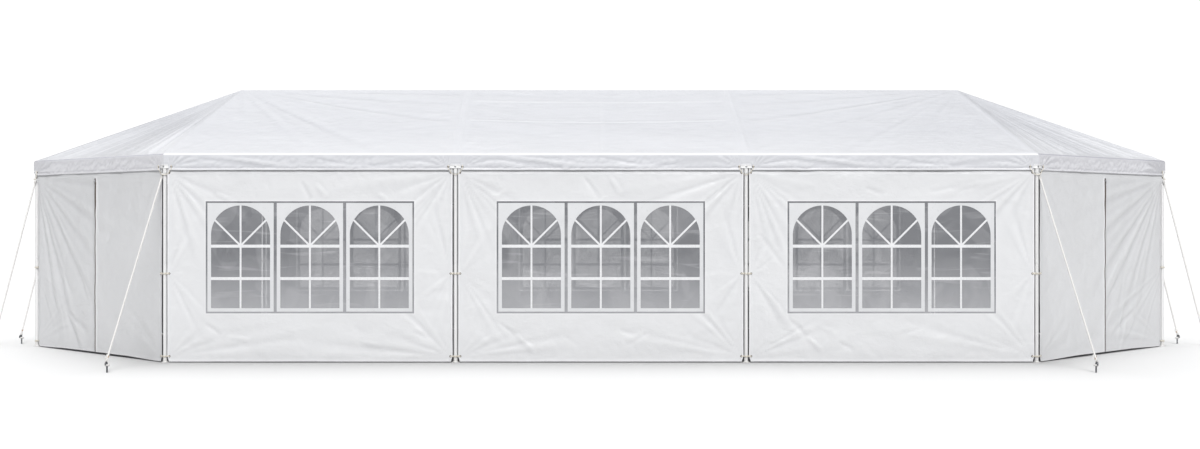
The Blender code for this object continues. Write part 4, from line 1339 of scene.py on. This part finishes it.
POST_PROFILE = (
    (0, 0), (0.0372, 0), (0.0396, 0.0008), (0.0400, 0.0024), (0.0394, 0.0042), (0.0376, 0.0052),
    (0.0352, 0.0046), (0.0290, 0.0044), (0.0262, 0.0052), (0.0244, 0.0074), (0.0232, 0.0108),
    (0.0214, 0.0126), (0.0196, 0.0132), (POST_R, 0.0150), (POST_R, 0.925), (0.01865, 0.9262),
    (0.01865, 0.9276), (0.0192, 0.9290), (0.0192, 0.9900), (POST_R, 0.9915), (POST_R, HUB_BOTTOM - 0.0006),
    (0.0150, HUB_BOTTOM - 0.0004), (0, HUB_BOTTOM - 0.0004),
)
PEG_HOLE = ((0.0046, 0.0002), (0.0040, 0.0008), (0.0030, 0.0010), (0.0026, 0.0004), (0.0001, 0.0004))
BUTTON = ((0.0036, -0.001), (0.0036, 0.0010), (0.0028, 0.0022), (0.0012, 0.0028), (0, 0.0029))
STRAP_Z = 1.852
BOLT_HEAD = ((0.0062, 0), (0.0062, 0.0010), (0.0052, 0.0012), (0.0054, 0.0040), (0.0046, 0.0052), (0, 0.0052))
WASHER = ((0.0095, 0), (0.0095, 0.0009), (0.0088, 0.0013), (0.0050, 0.0013))
CLAMP = ((0.0229, HUB_BOTTOM + 0.003), (0.0240, HUB_BOTTOM + 0.004), (0.0240, HUB_BOTTOM + 0.016),
         (0.0229, HUB_BOTTOM + 0.017))
EYELET_RING = ((0.0102, 0.0), (0.0096, 0.0012), (0.0082, 0.0019), (0.0066, 0.0016), (0.0058, 0.0003),
               (0.0056, -0.0016))
EYELET_SHADE_DISC = ((0.0059, 0.0004), (0.0052, -0.0003), (0.0001, -0.0005))
TIE_BEAD = ((0, -0.0055), (0.0036, -0.0045), (0.0054, -0.0010), (0.0054, 0.0020), (0.0036, 0.0050),
            (0, 0.006))
TIE_BARREL = ((0, -0.0068), (0.0058, -0.0062), (0.0066, -0.0040), (0.0066, 0.0040), (0.0058, 0.0062),
              (0, 0.0068))
TIE_CORD = circle(0.0032, 8)


def post_ways(index):
    """Level directions at a post: away from the tent, and aside."""
    out = np.append(unit(corner(index, 1.0) - RING[index]), 0)
    return out, np.cross(out, (0, 0, 1))


def make_post(index, materials):
    """A post: foot plate with a raised rim, welded collar, tube with its joint, and its button."""
    foot = np.append(RING[index], 0)
    name = RING_NAMES[index]
    out, aside = post_ways(index)
    build = Build()
    build.add(*lathe(POST_PROFILE, 36, Matrix.Translation(foot)), 0)
    for sign in (-1, 1):
        at = foot + (0, 0, 0.0046) + (aside * 0.86 + out * 0.5) * sign * 0.0318
        build.add(*lathe(PEG_HOLE, 14, Matrix.Translation(at)), 1)
    build.add(*lathe(BUTTON, 14, aim(foot + (0, 0, 0.962) + aside * 0.0190, aside)), 1)
    post = build.piece("post_tube_" + name, materials, ("steel", "bolt"), sharp=40)
    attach(post, "root")
    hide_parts("post_" + name)


def make_strap(index, materials):
    """The strap, bolt and clamp on a post's hub."""
    foot = np.append(RING[index], 0)
    out, _ = post_ways(index)
    build = Build()
    front = foot + out * 0.0268 + (0, 0, STRAP_Z)
    build.add(*lathe(BOLT_HEAD, 6, aim(front, out)), 1)
    build.add(*lathe(WASHER, 20, aim(front, out)), 1)
    build.add(*lathe(CLAMP, 30, Matrix.Translation(foot)), 2)
    path = []
    for side, sign in ((SIDES[index - 1], 1), (SIDES[index], -1)):
        reaches = (0.086, 0.062, 0.036)[::sign]
        path += [side.place(sign * (side.half - reach), 0.0252, STRAP_Z) for reach in reaches]
    path.insert(3, front - out * 0.0008)
    points, faces, flat = ribbon(smooth_path(path, 0.006), 0.0006, 0.0150)
    build.add(points, faces, 0, flat)
    strap = build.piece("hub_strap_" + RING_NAMES[index], materials, ("strap", "bolt", "steel"), sharp=40)
    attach(strap, "root")


def ribbon(path, half_thick, half_tall):
    """An upright band along a level path."""
    path = np.asarray(path, float)
    ahead = unit(np.gradient(path, axis=0) * (1, 1, 0))
    side = np.stack((ahead[:, 1], -ahead[:, 0], np.zeros(len(path))), axis=1)
    x = np.array((-half_thick, half_thick, half_thick, -half_thick))
    y = np.array((-half_tall, -half_tall, half_tall, half_tall))
    points = path[:, None] + side[:, None] * x[:, None] + np.array((0, 0, 1.0)) * y[:, None]
    index = np.arange(len(path) * 4).reshape(-1, 4)
    after = np.roll(index, -1, axis=1)
    faces = np.stack((index[:-1], index[1:], after[1:], after[:-1]), axis=-1).reshape(-1, 4)
    faces = np.vstack((faces, index[0], index[-1][::-1]))
    flat = np.stack(np.broadcast_arrays(travelled(path)[:, None], y), axis=-1)
    return points.reshape(-1, 3), faces, flat.reshape(-1, 2)


def eyelet_parts(build, at, out, slot):
    """A pressed eyelet facing out, with a dark disc painted as the shade in its hole."""
    build.add(*lathe(EYELET_RING, 20, aim(at, out)), slot)
    build.add(*lathe(EYELET_SHADE_DISC, 16, aim(at, out)), slot + 1)


def wall_eye(index, sign, z):
    """The place of a wall's eyelet next to one of its posts."""
    u = sign * (SIDES[index].half - TIE_REACH)
    return wall_point(index, u, z, 0.0012)


def round_post(index, eyes, radius, z_start, z_end, dip):
    """Points round the outside of a post, most of the way from one eyelet's bearing to the other's."""
    centre = RING[index]
    out = corner(index, 1.0) - centre
    facing = math.atan2(out[1], out[0])
    bearings = []
    for eye in eyes:
        turn = math.atan2(eye[1] - centre[1], eye[0] - centre[0])
        turn = facing + (turn - facing + math.pi) % (2 * math.pi) - math.pi
        bearings.append(turn * 0.62 + facing * 0.38)
    points = []
    for k, share in enumerate(np.linspace(0, 1, 7)):
        turn = bearings[0] + (bearings[1] - bearings[0]) * share
        z = z_start + (z_end - z_start) * share - dip * math.sin(math.pi * k / 6)
        points.append((centre[0] + radius * math.cos(turn), centre[1] + radius * math.sin(turn), z))
    return points


def eave_tie(build, index, sides, eyes, outs):
    """The tie in front of a post's hub, from the walls' upper eyelets up to the skirt's, with its beads."""
    ends, beads = [], []
    for (at, sign), eye, out in zip(sides, eyes, outs):
        along = sign * (SIDES[at].half - VALANCE_EYE_REACH)
        sky = SIDES[at].place(along, EAVE_OUT + 0.0020, VALANCE_EYE_Z)
        eyelet_parts(build, sky, out, 1)
        ends.append([sky - out * 0.001 + (0, 0, 0.0075), sky + out * 0.0055 + (0, 0, 0.004),
                     sky + out * 0.0045 - (0, 0, 0.022), eye + out * 0.010 + (0, 0, 0.020),
                     eye + out * 0.007 + (0, 0, 0.003)])
        beads.append(sky + out * 0.0062 + (0, 0, 0.0105))
    radius = 0.0350 if index in GUYED else 0.0260
    path = ends[0] + round_post(index, eyes, radius, 1.781, 1.781, 0.004) + ends[1][::-1]
    build.sweep(smooth_path(path, 0.0035), TIE_CORD)
    for bead in beads:
        build.add(*lathe(TIE_BEAD, 12, Matrix.Translation(bead)), 0)


def post_tie(build, index, z, eyes, outs):
    """Two strands round a post between the walls' eyelets, crossed and with barrels in the middle row."""
    cross = z == TIE_MID_Z
    for strand in (-1, 1):
        spread = (0.0072 if cross else 0.0042) * strand
        z_end = z - spread if cross else z + spread
        radius = POST_R + 0.0036 + (0.0034 if strand > 0 and cross else 0.0)
        arc = round_post(index, eyes, radius, z + spread, z_end, 0.0025 if cross else 0.0045)
        starts = [eye - out * 0.006 for eye, out in zip(eyes, outs)]
        rises = (spread * 0.4, (z_end - z) * 0.4)
        near = [eye + out * 0.0040 + (0, 0, rise) for eye, out, rise in zip(eyes, outs, rises)]
        build.sweep(smooth_path([starts[0], near[0], *arc, near[1], starts[1]], 0.0035), TIE_CORD)
    if cross:
        for eye, out in zip(eyes, outs):
            inward = np.append(RING[index], z) - eye
            inward = unit(inward - out * inward.dot(out))
            build.add(*lathe(TIE_BARREL, 14, aim(eye + inward * 0.0185 + out * 0.0055, inward)), 0)


def make_ties(index, materials):
    """The elastic ties of one post, their eyelets in the walls and the skirt."""
    sides = ((index - 1) % len(SIDES), 1), (index, -1)
    outs = [np.append(SIDES[at].out, 0) for at, _ in sides]
    build = Build()
    for z in (TIE_TOP_Z, TIE_MID_Z, TIE_FOOT_Z):
        eyes = [wall_eye(at, sign, z) for at, sign in sides]
        for eye, out in zip(eyes, outs):
            eyelet_parts(build, eye, out, 1)
        if z == TIE_TOP_Z:
            eave_tie(build, index, sides, eyes, outs)
        else:
            post_tie(build, index, z, eyes, outs)
    ties = build.piece("ties_" + RING_NAMES[index], materials, ("elastic", "eyelet", "hole_shade"), sharp=50)
    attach(ties, "root")


# Guy ropes

ROPE_R = 0.0088
ROPE_TOP_Z = 1.771
ROPE_BOTTOM_Z = 0.072
LOOP_PITCH = 0.0125
STAKES = {"corner": (0.246, 1.05), "front": (0.480, -0.09), "back": (0.280, 0.464)}
STAKE_R = 0.0055
STAKE_SWELL = 0.0022
ROPE_LAY = 0.042
ROPE_SLIDER = ((0, -0.0200), (0.0040, -0.0196), (0.0062, -0.0170), (0.0068, -0.006), (0.0068, 0.006),
               (0.0062, 0.0170), (0.0040, 0.0196), (0, 0.0200))


def rope_path(place, stake, outer):
    """One loop round the post and one round the stake, on the side where the taut run between them lies."""
    post_loop = POST_R + ROPE_R + 0.0012
    stake_loop = STAKE_R + ROPE_R + 0.0008
    run = stake - place
    side = math.copysign(1, -run[1] * outer[0] + run[0] * outer[1])
    lean = math.asin((post_loop - stake_loop) / np.linalg.norm(run))
    leave = math.atan2(run[1], run[0]) + side * (math.pi / 2 - lean)
    turn = -side * 2 * math.pi
    top, low = [], []
    for share in np.arange(29) / 28:
        angle = leave - turn + turn * share
        top.append((place[0] + post_loop * math.cos(angle), place[1] + post_loop * math.sin(angle),
                    ROPE_TOP_Z + LOOP_PITCH * (1 - share)))
        angle = leave + turn * share
        low.append((stake[0] + stake_loop * math.cos(angle), stake[1] + stake_loop * math.sin(angle),
                    ROPE_BOTTOM_Z - LOOP_PITCH * share))
    return np.array(top), np.array(low)


def stake_place(index):
    """Where a guy rope's stake stands in plan."""
    name, place = RING_NAMES[index], RING[index]
    if name.startswith("tip"):
        out, forward = STAKES[name.split("_")[-1]]
        return place + np.array((math.copysign(out, place[0]), -forward))
    out, forward = STAKES["corner"]
    return place + np.array((math.copysign(out, place[0]), math.copysign(forward, place[1])))


def make_guy(index, materials):
    """A twisted rope with its loops, knots and slider, made end to end."""
    name = RING_NAMES[index]
    top, low = rope_path(RING[index], stake_place(index), corner(index, 1.0) - RING[index])
    lobes = 2 * math.pi * np.arange(9) / 9
    radius = ROPE_R * (0.97 + 0.03 * np.cos(3 * lobes))
    outline = np.stack((radius * np.cos(lobes), radius * np.sin(lobes)), axis=1)
    build = Build()
    straight = dotted(top[-1], low[0], 0.006)[1:-1]
    path = smooth_path(np.vstack((top, straight, low)), 0.0060)
    build.sweep(path, outline, 0, twist=2 * math.pi / ROPE_LAY)
    heading = unit(low[0] - top[-1])
    across = unit(np.cross(heading, (0, 0, 1.0)))
    lift = np.cross(across, heading)
    for start in (top[-1] + heading * 0.022, low[0] - heading * 0.030):
        coil = []
        for turn in np.linspace(0, 2 * math.pi * 3, 40):
            around = across * math.cos(turn) + lift * math.sin(turn)
            along = heading * (0.0095 * turn / (2 * math.pi) - 0.012)
            coil.append(start + along + around * (ROPE_R + 0.0026))
        build.sweep(coil, circle(0.0030, 8))
    slider_at = low[0] - heading * 0.068
    points, faces = lathe(ROPE_SLIDER, 16)
    tilted = aim(slider_at, unit(heading * 0.92 + across * 0.38))
    build.add(moved(points * (1.25, 0.95, 1), tilted), faces, 1)
    tail = [slider_at + heading * ahead + across * aside - (0, 0, drop)
            for ahead, aside, drop in ((-0.016, 0.004, 0), (-0.030, 0.014, 0), (-0.016, 0.020, 0.012),
                                       (0.006, 0.016, 0.010))]
    build.sweep(smooth_path(tail, 0.004), circle(0.0034, 8))
    rope = build.piece("stay_rope_" + name, materials, ("rope", "slider"), sharp=50)
    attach(rope, "root")
    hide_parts("guy_rope_" + name)


# Scene

def make_stage():
    """A plain pale floor, with a shadow painted under and round the tent."""
    mesh = bpy.data.meshes.new("floor")
    far = 90.0
    mesh.from_pydata([(-far, -far, 0), (far, -far, 0), (far, far, 0), (-far, far, 0)], [], [(0, 1, 2, 3)])
    floor = placed("floor", mesh)
    paint = Shader("studio_floor", (0.93, 0.93, 0.93), 0.9)
    where = paint.where()
    paint.patches(0.6, where, 2.0, 0.3, 0.7, (0.925, 0.925, 0.925))
    aside = paint.math("ABSOLUTE", paint.part(where, "X"))
    ahead = paint.math("ABSOLUTE", paint.part(where, "Y"))
    per_x, per_y, start = FLOOR_SLANT
    slanted = paint.math("MULTIPLY_ADD", aside, per_x, paint.math("MULTIPLY", ahead, per_y))
    near = paint.math("MAXIMUM", paint.math("SUBTRACT", aside, -RING[10][0]),
                      paint.math("SUBTRACT", ahead, -RING[0][1]))
    near = paint.math("MAXIMUM", near, paint.math("SUBTRACT", slanted, start))
    near = paint.math("MAXIMUM", near, 0.0)
    # The painted shadow fades with the distance from the tent's foot.
    fall = paint.math("EXPONENT", paint.math("MULTIPLY", near, -1 / FLOOR_SHADE_REACH))
    shade = paint.math("MULTIPLY", fall, FLOOR_SHADE)
    paint.tint(paint.math("MULTIPLY", shade, paint.between(aside, *FLOOR_SHADE_FADE)), (0, 0, 0))
    mesh.materials.append(paint.material)


def make_lights():
    """Soft light from above, from the front and from behind, and a white surround."""
    for name, at, target, spread, level in SUNS:
        data = bpy.data.lights.new(name, "SUN")
        data.energy = math.pi * level
        data.angle = math.radians(spread)
        light = placed(name, data)
        light.location = at
        light.rotation_euler = (Vector(target) - Vector(at)).to_track_quat("-Z", "Y").to_euler()

    world = bpy.data.worlds.new("surround")
    bpy.context.scene.world = world
    world.use_nodes = True
    tree = world.node_tree
    seen, lit = tree.nodes["Background"], tree.nodes.new("ShaderNodeBackground")
    for background, colour, strength in ((seen, (1, 1, 1, 1), 1.05), (lit, (0.97, 0.98, 1.0, 1), AMBIENT)):
        background.inputs["Color"].default_value = colour
        background.inputs["Strength"].default_value = strength
    path = tree.nodes.new("ShaderNodeLightPath")
    mix = tree.nodes.new("ShaderNodeMixShader")
    tree.links.new(path.outputs["Is Camera Ray"], mix.inputs[0])
    tree.links.new(lit.outputs[0], mix.inputs[1])
    tree.links.new(seen.outputs[0], mix.inputs[2])
    tree.links.new(mix.outputs[0], tree.nodes["World Output"].inputs["Surface"])


def make_camera():
    """The photo's camera, level and shifted."""
    data = bpy.data.cameras.new("photo_camera")
    data.sensor_width = 36.0
    data.lens = FOCAL_PX / PHOTO_WIDTH * data.sensor_width
    data.shift_x = (PHOTO_WIDTH / 2 - PRINCIPAL_PX[0]) / PHOTO_WIDTH
    data.shift_y = (PRINCIPAL_PX[1] - PHOTO_HEIGHT / 2) / PHOTO_WIDTH
    data.clip_end = 400
    camera = placed("photo_camera", data)
    camera.location = CAMERA_AT
    camera.rotation_euler = (math.radians(90), 0, 0)
    bpy.context.scene.camera = camera


def dress_frame(materials):
    """The frame's own tubes and stakes get their finished materials."""
    for name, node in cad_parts.items():
        if name.startswith(("eave_rail", "ridge_pole", "rafters")):
            node.data.materials[0] = materials["steel"]
        elif name.startswith("stake_"):
            node.data.materials[0] = materials["stake"]
            forged = node.modifiers.new("forged", "DISPLACE")
            forged.mid_level, forged.strength = 0.0, STAKE_SWELL


def main():
    """Build the visible tent, its stage and its camera."""
    materials = make_materials()
    make_camera()
    make_stage()
    make_lights()
    roof = make_roof(materials)
    valance = make_valance(materials)
    for index, name in enumerate(WALL_NAMES):
        wall, flat, area = make_wall(index, materials)
        if index in LONG_SIDES:
            film, bars, film_flat = make_window(index, materials)
        elif index in TIP_SIGN:
            make_zip(index, materials)
    for index in range(len(RING)):
        make_post(index, materials)
        make_strap(index, materials)
        make_ties(index, materials)
        if index in GUYED:
            make_guy(index, materials)
    dress_frame(materials)


main()
bpy.context.scene.view_settings.view_transform = "Standard"
